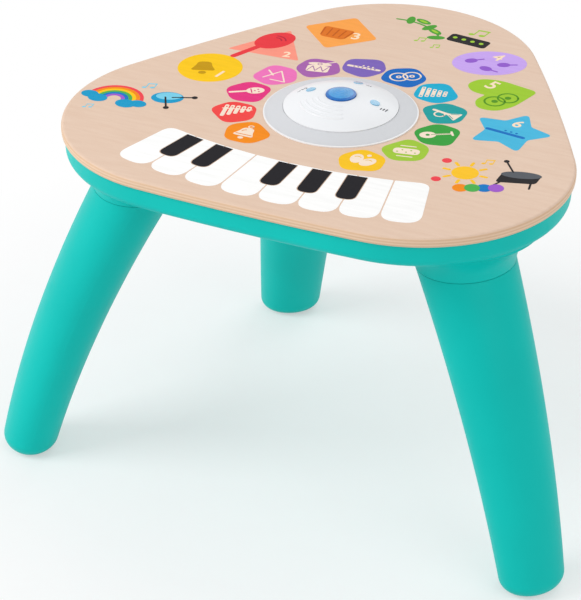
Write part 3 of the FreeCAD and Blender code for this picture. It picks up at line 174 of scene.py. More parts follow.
class Shader(NodeMaker):
    """A material under construction."""

    def __init__(self, name: str) -> None:
        """Start an empty surface.

        Args:
            name: The material's name.
        """
        self.material = bpy.data.materials.new(name)
        self.material.use_nodes = True
        super().__init__(self.material.node_tree)
        self.surface = self.tree.nodes["Principled BSDF"]
        self.place = self.add("ShaderNodeTexCoord").outputs["Object"]

    def set(self, **values: object) -> None:
        """Set the surface's inputs; an underscore in a name stands for a space."""
        for key, value in values.items():
            self.feed(self.surface.inputs[key.replace("_", " ")], value)

    def scaled(self, stretch: Sequence[float]) -> Socket:
        """The object's coordinates, stretched along its axes."""
        mapping = self.add("ShaderNodeMapping", {"Vector": self.place, "Scale": tuple(stretch)})
        return mapping.outputs[0]

    def noise(self, scale: float, detail: float = 3.0, stretch: Sequence[float] = (1, 1, 1)) -> Socket:
        """Soft noise between 0 and 1.

        Args:
            scale: Waves per metre.
            detail: Octaves.
            stretch: Scale along each axis.

        Returns:
            The noise's strength.
        """
        inputs = {"Vector": self.scaled(stretch), "Scale": scale, "Detail": detail}
        return self.add("ShaderNodeTexNoise", inputs).outputs["Fac"]

    def ramp(self, value: Socket, low: float, high: float) -> Socket:
        """Map a value's range to 0 to 1, clamped."""
        return self.add("ShaderNodeMapRange", {0: value, 1: low, 2: high}).outputs[0]

    def spread(self, value: Socket, low: float, high: float) -> Socket:
        """Map 0 to 1 onto a range."""
        return self.add("ShaderNodeMapRange", {0: value, 3: low, 4: high}).outputs[0]

    def mix(self, share: object, first: object, second: object) -> Socket:
        """Blend two colours.

        Args:
            share: How much of the second shows.
            first: A colour of 0 to 255, or a socket.
            second: A colour of 0 to 255, or a socket.

        Returns:
            The blended colour.
        """
        ends = [end if isinstance(end, Socket) else light_of(end) for end in (first, second)]
        node = self.add("ShaderNodeMix", {0: share, 6: ends[0], 7: ends[1]}, data_type="RGBA")
        return node.outputs[2]

    def axes(self) -> tuple[Socket, ...]:
        """X, Y and Z of the object's coordinates."""
        return tuple(self.add("ShaderNodeSeparateXYZ", {0: self.place}).outputs)

    def bump(self, height: Socket, distance: float, strength: float = 1.0) -> None:
        """Raise the surface by a height map.

        Args:
            height: The map.
            distance: Its full height in metres.
            strength: Its share.
        """
        node = self.add("ShaderNodeBump", {"Height": height, "Distance": distance, "Strength": strength})
        self.feed(self.surface.inputs["Normal"], node.outputs[0])

    def scatter(self, share: float, depth: float) -> None:
        """Let a share of the light scatter inside the wall, to a depth in metres."""
        self.set(Subsurface_Weight=share, Subsurface_Scale=depth, Subsurface_Radius=(1.0, 1.0, 1.0))

    def flat_length(self, x: Socket, y: Socket) -> Socket:
        """The length of the flat vector from X and Y."""
        squares = self.math("ADD", self.math("MULTIPLY", x, x), self.math("MULTIPLY", y, y))
        return self.math("SQRT", squares)

    def around_axis(self) -> Socket:
        """Measure from the table's upright axis.

        Returns:
            The distance in metres.
        """
        x, y, _ = self.axes()
        away = self.math("SUBTRACT", y, Top.from_frame().axis_y)
        return self.flat_length(x, away)


@dataclass(frozen=True)
class Top:
    """Where the flat top lies.

    Attributes:
        level: The top's height.
        under: The plywood's underside.
        axis_y: Where the table's upright axis crosses Y.
    """

    level: float
    under: float
    axis_y: float

    @staticmethod
    def from_frame() -> "Top":
        """Read the top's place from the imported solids.

        Returns:
            The place.
        """
        low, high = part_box("top_panel")
        ring_low, ring_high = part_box("light_ring")
        return Top(high.z, low.z, (ring_low.y + ring_high.y) / 2.0)


class Finish(Protocol):
    """What each finish of the table can do."""

    def material(self) -> Material:
        """Build the finish."""


@dataclass(frozen=True)
class MouldedPlastic:
    """Injection-moulded plastic with a faint texture and handling marks.

    Attributes:
        name: The material's name.
        colour: Its screen colour.
        roughness: Its mean roughness.
        mottle: How far the colour drifts, as a share.
        coat: Strength of a clear gloss over it.
        glow: Share of light that passes through the wall and scatters.
        gloss: Strength of its mirror reflection; 0.5 is a common plastic's.
    """

    name: str
    colour: Colour
    roughness: float = 0.38
    mottle: float = 0.05
    coat: float = 0.0
    glow: float = 0.0
    gloss: float = 0.35

    def material(self) -> Material:
        """Build the finish.

        Returns:
            Its material.
        """
        shader = Shader(self.name)
        drift = shader.ramp(shader.noise(9.0, 2.0), 0.3, 0.7)
        shader.set(Base_Color=shader.mix(drift, self.colour, shade(self.colour, 1.0 - self.mottle)))
        scuffs = shader.ramp(shader.noise(60.0, 6.0, (1.0, 3.0, 1.0)), 0.55, 0.75)
        shader.set(Roughness=shader.spread(scuffs, self.roughness, self.roughness + 0.1))
        shader.set(Coat_Weight=self.coat, Coat_Roughness=0.12, IOR=1.47, Specular_IOR_Level=self.gloss)
        shader.scatter(self.glow, 4 * MM)
        shader.bump(shader.noise(1400.0, 2.0), 0.05 * MM, 0.35)
        return shader.material


@dataclass(frozen=True)
class BirchPlywood:
    """Lacquered birch plywood: a pale face with fine grain, and plies along the edge.

    Attributes:
        name: The material's name.
        face: The face veneer's colour.
        streak: The grain's darker colour.
        ply: The edge's pale plies.
        cross_ply: The edge's darker cross plies.
        ply_count: Plies through the thickness.
        veneer_start: How deep the face veneer's colour reaches.
        veneer_end: How deep the first ply's colour starts.
        waver: How far the plies' edges wander.
    """

    name: str = "birch_plywood"
    face: Colour = (226, 199, 178)
    streak: Colour = (221, 192, 170)
    ply: Colour = (233, 202, 174)
    cross_ply: Colour = (219, 184, 152)
    ply_count: int = 7
    veneer_start: float = 0.9 * MM
    veneer_end: float = 1.3 * MM
    waver: float = 0.25 * MM

    def material(self) -> Material:
        """Build the finish.

        Returns:
            Its material.
        """
        shader = Shader(self.name)
        top = Top.from_frame()
        grain = shader.noise(26.0, 6.0, (1.0, 9.0, 9.0))
        figure = shader.noise(5.0, 3.0, (1.0, 3.5, 1.0))
        pores = shader.ramp(shader.noise(240.0, 2.0, (1.0, 12.0, 12.0)), 0.62, 0.74)
        face = shader.mix(shader.ramp(grain, 0.35, 0.7), self.face, self.streak)
        face = shader.mix(shader.math("MULTIPLY", shader.ramp(figure, 0.4, 0.7), 0.35), face, self.streak)
        face = shader.mix(shader.math("MULTIPLY", pores, 0.35), face, shade(self.streak, 0.86))
        height = shader.axes()[2]
        waver = shader.math("MULTIPLY", shader.noise(30.0, 2.0), self.waver)
        depth = shader.math("ADD", shader.math("SUBTRACT", top.level, height), waver)
        plies_per_metre = self.ply_count / (top.level - top.under)
        turns = shader.math("MULTIPLY", depth, math.pi * plies_per_metre)
        bands = shader.ramp(shader.math("SINE", turns), -0.25, 0.25)
        fibres = shader.noise(900.0, 3.0)
        edge = shader.mix(bands, self.cross_ply, self.ply)
        edge = shader.mix(shader.math("MULTIPLY", fibres, 0.3), edge, shade(self.cross_ply, 0.9))
        veneer = shader.ramp(depth, self.veneer_start, self.veneer_end)
        shader.set(Base_Color=shader.mix(veneer, face, edge))
        shader.set(Roughness=shader.spread(grain, 0.45, 0.55), Specular_IOR_Level=0.2)
        shader.bump(shader.math("ADD", grain, pores), 0.06 * MM, 0.3)
        return shader.material


@dataclass(frozen=True)
class PrintInk:
    """Screen-printed ink on wood: flat, a little glossy, with a trace of the grain under it.

    Attributes:
        name: The material's name.
        colour: The ink's screen colour.
        roughness: Its mean roughness.
        gloss: Strength of its mirror reflection.
    """

    name: str
    colour: Colour
    roughness: float = 0.4
    gloss: float = 0.04

    def material(self) -> Material:
        """Build the finish.

        Returns:
            Its material.
        """
        shader = Shader(self.name)
        grain = shader.ramp(shader.noise(26.0, 6.0, (1.0, 9.0, 9.0)), 0.4, 0.8)
        cover = shader.ramp(shader.noise(700.0, 2.0), 0.6, 0.9)
        body = shader.mix(shader.math("MULTIPLY", grain, 0.5), self.colour, shade(self.colour, 0.94))
        specks = shader.math("MULTIPLY", cover, 0.3)
        shader.set(Base_Color=shader.mix(specks, body, shade(self.colour, 1.08)))
        shader.set(Roughness=shader.spread(grain, self.roughness, self.roughness + 0.08))
        shader.set(Specular_IOR_Level=self.gloss)
        shader.bump(shader.noise(900.0, 2.0), 0.02 * MM, 0.3)
        return shader.material


@dataclass(frozen=True)
class PlatedMetal:
    """Plated steel with fine brush marks and dull spots.

    Attributes:
        name: The material's name.
        colour: Its screen colour.
        roughness: Its mean roughness.
    """

    name: str
    colour: Colour
    roughness: float = 0.32

    def material(self) -> Material:
        """Build the finish.

        Returns:
            Its material.
        """
        shader = Shader(self.name)
        marks = shader.noise(400.0, 4.0, (1.0, 8.0, 1.0))
        spots = shader.ramp(shader.noise(90.0, 3.0), 0.5, 0.8)
        shader.set(Base_Color=shader.mix(spots, self.colour, shade(self.colour, 0.85)), Metallic=1.0)
        shader.set(Roughness=shader.spread(marks, self.roughness - 0.08, self.roughness + 0.12))
        shader.bump(marks, 0.02 * MM, 0.4)
        return shader.material


@dataclass(frozen=True)
class SoftRubber:
    """Soft rubber or cable sheath with a dusty bloom.

    Attributes:
        name: The material's name.
        colour: Its screen colour.
        roughness: Its mean roughness.
        sheen: Strength of the bloom.
    """

    name: str
    colour: Colour
    roughness: float = 0.65
    sheen: float = 0.25

    def material(self) -> Material:
        """Build the finish.

        Returns:
            Its material.
        """
        shader = Shader(self.name)
        bloom = shader.ramp(shader.noise(120.0, 4.0), 0.35, 0.75)
        shader.set(Base_Color=shader.mix(bloom, self.colour, shade(self.colour, 1.12)))
        shader.set(Roughness=shader.spread(bloom, self.roughness - 0.06, self.roughness + 0.08))
        shader.set(Sheen_Weight=self.sheen, Specular_IOR_Level=0.35)
        shader.bump(shader.noise(2200.0, 2.0), 0.05 * MM, 0.5)
        return shader.material


@dataclass(frozen=True)
class CellFoam:
    """Closed-cell foam, its cut cells showing as small pits, each darker towards its middle with painted shade.

    Attributes:
        name: The material's name.
        colour: Its screen colour.
        cell: Size of a cell in metres.
    """

    name: str
    colour: Colour
    cell: float = 0.9 * MM

    def material(self) -> Material:
        """Build the finish.

        Returns:
            Its material.
        """
        shader = Shader(self.name)
        cells = shader.add("ShaderNodeTexVoronoi", {"Vector": shader.place, "Scale": 1.0 / self.cell})
        pit_depth_and_shade = shader.ramp(cells.outputs["Distance"], 0.1, 0.6)
        # Painted shade: each pit is coloured darker towards its middle; the same map sinks it by bump.
        shader.set(Base_Color=shader.mix(pit_depth_and_shade, shade(self.colour, 0.6), self.colour))
        shader.set(Roughness=0.9, Sheen_Weight=0.2)
        shader.bump(pit_depth_and_shade, 0.2 * MM, 0.6)
        return shader.material


@dataclass(frozen=True)
class CircuitBoard:
    """Green solder mask over copper runs, with tinned pads.

    Attributes:
        name: The material's name.
        mask: Solder mask over bare board.
        run: Solder mask over copper.
        pad: The tinned pads.
    """

    name: str = "circuit_board"
    mask: Colour = (22, 96, 58)
    run: Colour = (44, 132, 82)
    pad: Colour = (196, 190, 170)

    def material(self) -> Material:
        """Build the finish.

        Returns:
            Its material.
        """
        shader = Shader(self.name)
        sizes = {"Scale": 60.0, "Mortar Size": 0.03, "Brick Width": 0.9, "Row Height": 0.12}
        runs = shader.add("ShaderNodeTexBrick", {"Vector": shader.place, **sizes}).outputs["Fac"]
        cells = {"Vector": shader.place, "Scale": 170.0, "Randomness": 0.3}
        dots = shader.add("ShaderNodeTexVoronoi", cells)
        pads = shader.ramp(dots.outputs["Distance"], 0.2, 0.14)
        colour = shader.mix(runs, self.mask, self.run)
        shader.set(Base_Color=shader.mix(pads, colour, self.pad))
        shader.set(Metallic=shader.math("MULTIPLY", pads, 0.9), Roughness=shader.spread(pads, 0.3, 0.22))
        shader.bump(shader.math("ADD", runs, pads), 0.04 * MM, 0.5)
        return shader.material


class Band(Enum):
    """Which way a banded finish is striped."""

    ALONG_X = 0
    ALONG_Y = 1
    ALONG_Z = 2


@dataclass(frozen=True)
class BandedSleeve:
    """A printed sleeve or film with evenly spaced bands.

    Attributes:
        name: The material's name.
        colour: Between the bands.
        band: The bands' colour.
        pitch: The bands' spacing in metres.
        share: How much of the pitch a band takes.
        way: The axis along which the bands follow each other.
        roughness: Its mean roughness.
        metallic: How far it looks like foil.
    """

    name: str
    colour: Colour
    band: Colour
    pitch: float
    share: float
    way: Band
    roughness: float = 0.35
    metallic: float = 0.0

    def material(self) -> Material:
        """Build the finish.

        Returns:
            Its material.
        """
        shader = Shader(self.name)
        along = shader.axes()[self.way.value]
        turn = shader.math("FRACT", shader.math("DIVIDE", along, self.pitch))
        banded = shader.math("LESS_THAN", turn, self.share)
        worn = shader.ramp(shader.noise(150.0, 5.0), 0.35, 0.8)
        colour = shader.mix(banded, self.colour, self.band)
        wear = shader.math("MULTIPLY", worn, 0.2)
        shader.set(Base_Color=shader.mix(wear, colour, shade(self.colour, 0.7)), Metallic=self.metallic)
        shader.set(Roughness=shader.spread(worn, self.roughness, self.roughness + 0.12))
        shader.bump(worn, 0.02 * MM, 0.3)
        return shader.material


@dataclass(frozen=True)
class PressedPaper:
    """Pressed black paper pulp with rings round the loudspeaker's own axis.

    Attributes:
        name: The material's name.
        colour: Its screen colour.
        ring_pitch: Spacing of the pressed rings.
    """

    name: str = "pressed_paper"
    colour: Colour = (44, 43, 45)
    ring_pitch: float = 3.0 * MM

    def material(self) -> Material:
        """Build the finish.

        Returns:
            Its material.
        """
        shader = Shader(self.name)
        low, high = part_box("speaker_cone")
        middle = (low + high) / 2.0
        x, y, _ = shader.axes()
        across = shader.math("SUBTRACT", x, middle.x)
        back = shader.math("SUBTRACT", y, middle.y)
        turns = shader.math("MULTIPLY", shader.flat_length(across, back), math.tau / self.ring_pitch)
        rings = shader.math("SINE", turns)
        fibres = shader.noise(1500.0, 5.0)
        shader.set(Base_Color=shader.mix(fibres, shade(self.colour, 0.8), shade(self.colour, 1.3)))
        shader.set(Roughness=0.85, Sheen_Weight=0.3)
        shader.bump(shader.math("ADD", shader.math("MULTIPLY", rings, 2.0), fibres), 0.08 * MM, 0.6)
        return shader.material


@dataclass(frozen=True)
class ButtonBlue:
    """Translucent blue plastic, deeper in colour round the button's rim.

    Attributes:
        name: The material's name.
        crown: The button's top.
        rim: Its outer edge.
        crown_radius: Where the top ends and the rim begins.
        blend: The width over which one turns into the other.
        ripple: Spacing of the fine rings on the top.
    """

    name: str = "button_blue"
    crown: Colour = (70, 158, 222)
    rim: Colour = (0, 104, 186)
    crown_radius: float = 10.6 * MM
    blend: float = 0.9 * MM
    ripple: float = 2.6 * MM

    def material(self) -> Material:
        """Build the finish.

        Returns:
            Its material.
        """
        shader = Shader(self.name)
        reach = shader.around_axis()
        outer = shader.ramp(reach, self.crown_radius, self.crown_radius + self.blend)
        clouds = shader.ramp(shader.noise(160.0, 4.0), 0.3, 0.7)
        crown = shader.mix(clouds, self.crown, shade(self.crown, 0.93))
        shader.set(Base_Color=shader.mix(outer, crown, self.rim), Roughness=0.3, Coat_Weight=0.25)
        shader.scatter(0.25, 3 * MM)
        shader.set(Coat_Roughness=0.1, Specular_IOR_Level=0.3)
        ripples = shader.math("SINE", shader.math("MULTIPLY", reach, math.tau / self.ripple))
        shader.bump(shader.math("MULTIPLY", ripples, shader.math("SUBTRACT", 1.0, outer)), 0.12 * MM, 0.5)
        return shader.material


@dataclass(frozen=True)
class FrostedRing:
    """Frosted grey plastic that lets the lamps under it shine through, with a polished outer edge brightened by a
    painted highlight.

    Attributes:
        name: The material's name.
        frost: The wide flat face.
        rim: The colour of the painted highlight along the polished outer edge.
        rim_width: The edge's width.
        rim_start: The share of that width over which the painted highlight comes in.
    """

    name: str = "frosted_ring"
    frost: Colour = (211, 213, 217)
    rim: Colour = (240, 241, 243)
    rim_width: float = 1.3 * MM
    rim_start: float = 0.4

    def material(self) -> Material:
        """Build the finish.

        Returns:
            Its material.
        """
        shader = Shader(self.name)
        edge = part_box("light_ring")[1].x
        inner_edge = edge - self.rim_width
        outer = shader.ramp(shader.around_axis(), inner_edge, inner_edge + self.rim_width * self.rim_start)
        drift = shader.noise(14.0, 2.0)
        frost = shader.mix(drift, self.frost, shade(self.frost, 0.98))
        # Painted highlight: where outer is 1, along the outer edge, the colour turns brighter than the frost, and the
        # surface glossier.
        shader.set(Base_Color=shader.mix(outer, frost, self.rim), Roughness=shader.spread(outer, 0.5, 0.25))
        shader.scatter(0.15, 4 * MM)
        shader.set(Specular_IOR_Level=0.35)
        shader.bump(shader.noise(2600.0, 2.0), 0.04 * MM, 0.4)
        return shader.material


@dataclass(frozen=True)
class LampEpoxy:
    """A small lamp's clear body over its pale die.

    Attributes:
        name: The material's name.
        colour: Its screen colour.
    """

    name: str = "lamp_epoxy"
    colour: Colour = (250, 246, 214)

    def material(self) -> Material:
        """Build the finish.

        Returns:
            Its material.
        """
        shader = Shader(self.name)
        die = shader.ramp(shader.noise(900.0, 2.0), 0.4, 0.6)
        shader.set(Base_Color=shader.mix(die, self.colour, shade(self.colour, 0.88)), Roughness=0.15)
        shader.set(Transmission_Weight=0.35, Coat_Weight=0.5)
        shader.bump(die, 0.03 * MM, 0.4)
        return shader.material


FINISHES: dict[str, Finish] = {
    "plywood": BirchPlywood(),
    "sensor_film": BandedSleeve(
        "sensor_film", (222, 176, 92), (186, 190, 192), pitch=9 * MM, share=0.4, way=Band.ALONG_X
    ),
    "foam": CellFoam("cell_foam", (92, 94, 98)),
    "teal_plastic": MouldedPlastic("teal_plastic", (2, 194, 185), roughness=0.42, mottle=0.04, gloss=0.14),
    "foot_rubber": SoftRubber("foot_rubber", (206, 210, 211)),
    "zinc_steel": PlatedMetal("zinc_steel", (198, 200, 206)),
    "frosted_ring": FrostedRing(),
    "white_plastic": MouldedPlastic("white_plastic", (236, 238, 241), roughness=0.34, mottle=0.015, coat=0.1),
    "circuit_board": CircuitBoard(),
    "led_white": LampEpoxy(),
    "lens_blue": MouldedPlastic(
        "lens_blue", (128, 200, 240), roughness=0.16, mottle=0.18, coat=0.6, glow=0.3
    ),
    "black_plastic": MouldedPlastic("black_plastic", (30, 30, 33), roughness=0.5),
    "button_blue": ButtonBlue(),
    "silicone": SoftRubber("milky_silicone", (216, 217, 214), roughness=0.5, sheen=0.1),
    "ferrite": MouldedPlastic("sintered_ferrite", (48, 48, 52), roughness=0.6, mottle=0.25),
    "speaker_paper": PressedPaper(),
    "speaker_rubber": SoftRubber("surround_rubber", (32, 32, 33)),
    "battery_can": BandedSleeve(
        "battery_sleeve",
        (176, 180, 184),
        (52, 54, 58),
        pitch=26 * MM,
        share=0.62,
        way=Band.ALONG_X,
        roughness=0.25,
        metallic=0.6,
    ),
    "nickel_contact": PlatedMetal("nickel_contact", (206, 202, 190), roughness=0.24),
    "knob_white": MouldedPlastic("knob_white", (240, 240, 240), roughness=0.45),
    "capacitor_sleeve": BandedSleeve(
        "capacitor_sleeve",
        (30, 34, 84),
        (206, 208, 212),
        pitch=8 * MM,
        share=0.2,
        way=Band.ALONG_X,
        roughness=0.3,
    ),
    "socket_nylon": MouldedPlastic("socket_nylon", (240, 237, 222), roughness=0.5, glow=0.2),
    "lead_red": SoftRubber("red_sheath", (196, 34, 28), roughness=0.45, sheen=0.05),
    "lead_grey": SoftRubber("grey_sheath", (128, 130, 134), roughness=0.45, sheen=0.05),
    "ribbon_film": BandedSleeve(
        "ribbon_film", (226, 226, 222), (150, 152, 156), pitch=1.2 * MM, share=0.4, way=Band.ALONG_Y
    ),
}


class Carried:
    """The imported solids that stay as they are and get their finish."""

    def dress(self) -> None:
        """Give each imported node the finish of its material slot."""
        made = {slot: finish.material() for slot, finish in FINISHES.items()}
        for part in frame["record"]["subparts"]:
            node = frame["nodes"][part["node"]]
            for place in node.material_slots:
                place.material = made[part["material_slot"]]
            LOG.info("finish %s on %s", part["material_slot"], part["node"])


def linked(name: str, data: bpy.types.ID) -> bpy.types.Object:
    """A new object of some data at the origin, in the scene."""
    made = bpy.data.objects.new(name, data)
    bpy.context.scene.collection.objects.link(made)
    return made


def plain_mesh(holder: bpy.types.Object) -> bpy.types.Mesh:
    """Take an object's evaluated mesh and remove the object.

    Args:
        holder: An object with modifiers, or a text.

    Returns:
        The plain mesh.
    """
    evaluated = holder.evaluated_get(bpy.context.evaluated_depsgraph_get())
    data = bpy.data.meshes.new_from_object(evaluated)
    bpy.data.objects.remove(holder)
    return data


def mesh_object(name: str, shape: bmesh.types.BMesh, materials: Iterable[Material]) -> bpy.types.Object:
    """Turn an edited mesh into an object at the origin.

    Args:
        name: The piece's name.
        shape: The mesh, which is freed.
        materials: Its material slots in order.

    Returns:
        The object.
    """
    bmesh.ops.recalc_face_normals(shape, faces=shape.faces)
    data = bpy.data.meshes.new(name)
    shape.to_mesh(data)
    shape.free()
    for material in materials:
        data.materials.append(material)
    return linked(name, data)


def report(piece: bpy.types.Object, body: str) -> bpy.types.Object:
    """Let a piece ride on its body and log it.

    Args:
        piece: The finished piece.
        body: The body that carries it.

    Returns:
        The piece.
    """
    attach(piece, body)
    LOG.info("piece %s on %s, %d faces", piece.name, body, len(piece.data.polygons))
    return piece


def ink(name: str, colour: Colour) -> Material:
    """The material of one printed ink."""
    return PrintInk("ink_" + name, colour).material()


def travel_of(name: str) -> float:
    """How far a sliding joint goes, in metres."""
    return next(joint for joint in frame["joints"] if joint["name"] == name)["range_m"][1]


def plate(shape: bmesh.types.BMesh, low: list, high: list) -> list[bmesh.types.BMFace]:
    """Close two rings of vertices into a plate.

    Args:
        shape: The mesh that holds them.
        low: The lower ring.
        high: The upper ring, with as many vertices.

    Returns:
        The plate's top, its underside and its sides.
    """
    faces = [shape.faces.new(high), shape.faces.new(low[::-1])]
    for step, vertex in enumerate(low):
        after = (step + 1) % len(low)
        faces.append(shape.faces.new((vertex, low[after], high[after], high[step])))
    return faces


# Outlines in millimetres


def polar(radius: float, azimuth: float, centre: Spot = (0.0, 0.0)) -> Spot:
    """A spot at a radius and an azimuth in degrees from a centre."""
    turn = math.radians(azimuth)
    return (centre[0] + radius * math.cos(turn), centre[1] + radius * math.sin(turn))


def oval(centre: Spot, across: float, along: float, turn: float = 0.0, steps: int = 40) -> Outline:
    """An ellipse with half axes across and along, turned by degrees."""
    turns = [step * math.tau / steps for step in range(steps)]
    return placed([(across * math.cos(angle), along * math.sin(angle)) for angle in turns], centre, turn)


def dot(x: float, y: float, radius: float = 0.7) -> Outline:
    """A small round dot with twelve sides."""
    return oval((x, y), radius, radius, 0, 12)


def placed(outline: Iterable[Spot], centre: Spot, turn: float = 0.0, size: float = 1.0) -> Outline:
    """An outline scaled, turned by degrees and moved to a centre."""
    cosine, sine = math.cos(math.radians(turn)) * size, math.sin(math.radians(turn)) * size
    return [(centre[0] + x * cosine - y * sine, centre[1] + x * sine + y * cosine) for x, y in outline]


def rounded(corners: Sequence[Spot], radius: float | Sequence[float], steps: int = 6) -> Outline:
    """A polygon whose corners are rounded.

    Args:
        corners: Its corners in order.
        radius: One distance from each corner to where its round starts, or one for each corner.
        steps: Spans in each round.

    Returns:
        The rounded outline.
    """
    count = len(corners)
    reaches = list(radius) if isinstance(radius, (list, tuple)) else [radius] * count
    outline = []
    for index, (x, y) in enumerate(corners):
        ends = []
        for other in (corners[index - 1], corners[(index + 1) % count]):
            length = math.hypot(other[0] - x, other[1] - y)
            share = min(reaches[index] / length, 0.49)
            ends.append((x + (other[0] - x) * share, y + (other[1] - y) * share))
        start, stop = ends
        for step in range(steps + 1):
            go = step / steps
            first, middle, last = (1 - go) ** 2, 2 * go * (1 - go), go**2
            outline.append(tuple(first * a + middle * b + last * c for a, b, c in zip(start, (x, y), stop)))
    return outline


def stroke(run: Sequence[Spot], width: float, cap_steps: int = 5) -> Outline:
    """A line of some width with round ends that follows a run of spots.

    Args:
        run: The spots, with gentle turns between them.
        width: The line's width.
        cap_steps: Spans in each round end.

    Returns:
        Its outline.
    """
    half = width / 2.0
    left, right = [], []
    for index, (x, y) in enumerate(run):
        before = run[max(index - 1, 0)]
        after = run[min(index + 1, len(run) - 1)]
        heading = math.atan2(after[1] - before[1], after[0] - before[0])
        left.append((x - half * math.sin(heading), y + half * math.cos(heading)))
        right.append((x + half * math.sin(heading), y - half * math.cos(heading)))
    start = math.degrees(math.atan2(run[1][1] - run[0][1], run[1][0] - run[0][0]))
    stop = math.degrees(math.atan2(run[-1][1] - run[-2][1], run[-1][0] - run[-2][0]))
    sweep = [step * 180.0 / cap_steps for step in range(1, cap_steps)]
    end_cap = [polar(half, stop + 90.0 - angle, run[-1]) for angle in sweep]
    start_cap = [polar(half, start - 90.0 - angle, run[0]) for angle in sweep]
    return left + end_cap + right[::-1] + start_cap


def arc(centre: Spot, radius: float, start: float, stop: float, steps: int = 12) -> Outline:
    """Spots along an arc, from one azimuth to another in degrees."""
    return [polar(radius, start + (stop - start) * step / steps, centre) for step in range(steps + 1)]


def hoop(centre: Spot, radius: float, width: float, start: float = 0.0, stop: float = 358.0) -> Outline:
    """A ring-shaped line that all but closes."""
    return stroke(arc(centre, radius, start, stop, 28), width)


class Print:
    """Inked areas laid on a surface as one thin piece.

    Attributes:
        SINK: How far each area reaches into the surface, in millimetres.
        STEP: How much higher each layer lies.
        HAIR: How much higher each area lies than the one before, so that no two share a plane.
        HAIR_COUNT: After how many areas that starts again.
    """

    SINK = 0.03
    STEP = 0.07
    HAIR = 0.002
    HAIR_COUNT = 20

    def __init__(self, name: str, surface: Callable[[float, float], float] | None = None) -> None:
        """Start an empty print.

        Args:
            name: The piece's name.
            surface: The height under a spot in metres, or None for the flat top.
        """
        self.name = name
        self.top = Top.from_frame()
        self.surface = surface or (lambda x, y: self.top.level)
        self.inks: list[Material] = []
        self.laid = 0
        self.shape = bmesh.new()

    def lay(self, ink: Material, layer: int, *outlines: Outline) -> "Print":
        """Lay outlines of one ink.

        Args:
            ink: The ink's material.
            layer: How many prints lie under it.
            outlines: Closed outlines in millimetres from the table's axis.

        Returns:
            The print itself.
        """
        if ink not in self.inks:
            self.inks.append(ink)
        index = self.inks.index(ink)
        for outline in outlines:
            self.laid += 1
            rise = self.STEP * (layer + 1) + self.HAIR * (self.laid % self.HAIR_COUNT)
            low = [self.shape.verts.new(self.lifted(spot, -self.SINK)) for spot in outline]
            high = [self.shape.verts.new(self.lifted(spot, rise)) for spot in outline]
            for face in plate(self.shape, low, high):
                face.material_index = index
        return self

    def lifted(self, spot: Spot, rise: float) -> Vector:
        """A spot in the row frame, some millimetres over the surface."""
        x, y = spot[0] * MM, spot[1] * MM + self.top.axis_y
        return Vector((x, y, self.surface(x, y) + rise * MM))

    def finish(self, slot: str = "plywood") -> bpy.types.Object:
        """Close the print and report it."""
        return report(mesh_object(self.name, self.shape, self.inks), TABLE_BODY)


class Recipe(NodeMaker):
    """A geometry node tree under construction, with named inputs."""

    def __init__(self, name: str, inputs: dict[str, tuple[str, object]]) -> None:
        """Start a tree.

        Args:
            name: The tree's name.
            inputs: For each input its socket type and its value.
        """
        super().__init__(bpy.data.node_groups.new(name, "GeometryNodeTree"))
        self.values = {label: value for label, (_, value) in inputs.items()}
        for label, (kind, _) in inputs.items():
            self.tree.interface.new_socket(label, in_out="INPUT", socket_type=kind)
        self.tree.interface.new_socket("Geometry", in_out="OUTPUT", socket_type="NodeSocketGeometry")
        self.given = self.tree.nodes.new("NodeGroupInput")

    def series(self, first: Socket, step: Socket) -> Socket:
        """A value that grows by one step from each spot to the next."""
        index = self.add("GeometryNodeInputIndex").outputs[0]
        return self.math("ADD", self.math("MULTIPLY", index, step), first)

    def copies(self, points: Socket, original: Socket, turn: Socket, kept: object = True) -> Socket:
        """Set a copy of an object on each spot.

        Args:
            points: The spots.
            original: The object.
            turn: Each copy's turn about Z in radians.
            kept: Which spots get one.

        Returns:
            The copies.
        """
        inputs = {
            "Points": points,
            "Instance": self.add("GeometryNodeObjectInfo", {"Object": original}).outputs["Geometry"],
            "Rotation": self.add("ShaderNodeCombineXYZ", {"Z": turn}).outputs[0],
            "Selection": kept,
        }
        return self.add("GeometryNodeInstanceOnPoints", inputs).outputs[0]

    def build(self, name: str, geometry: Socket) -> bpy.types.Object:
        """Close the tree, evaluate it once and keep the plain mesh.

        Args:
            name: The piece's name.
            geometry: The last node's geometry.

        Returns:
            An object with the finished mesh and no modifier.
        """
        real = self.add("GeometryNodeRealizeInstances", {"Geometry": geometry})
        finish = {"Geometry": real.outputs[0], "Material": self.given.outputs["Material"]}
        inked = self.add("GeometryNodeSetMaterial", finish)
        result = self.tree.nodes.new("NodeGroupOutput")
        self.tree.links.new(inked.outputs[0], result.inputs["Geometry"])
        holder = linked(name + "_seed", bpy.data.meshes.new(name + "_seed"))
        grower = holder.modifiers.new("grow", "NODES")
        grower.node_group = self.tree
        for item in self.tree.interface.items_tree:
            if item.in_out == "INPUT":
                grower[item.identifier] = self.values[item.name]
        data = plain_mesh(holder)
        data.name = name
        return linked(name, data)


def stamp(name: str, outline: Outline, thickness: float, level: float) -> bpy.types.Object:
    """A thin solid of one outline about the origin, from which copies are grown.

    Args:
        name: Its name.
        outline: Its outline in millimetres.
        thickness: Its thickness in metres.
        level: The height of its underside in metres.

    Returns:
        The object, which its maker removes again.
    """
    shape = bmesh.new()
    low = [shape.verts.new((x * MM, y * MM, level)) for x, y in outline]
    high = [shape.verts.new((x * MM, y * MM, level + thickness)) for x, y in outline]
    plate(shape, low, high)
    return mesh_object(name, shape, [])


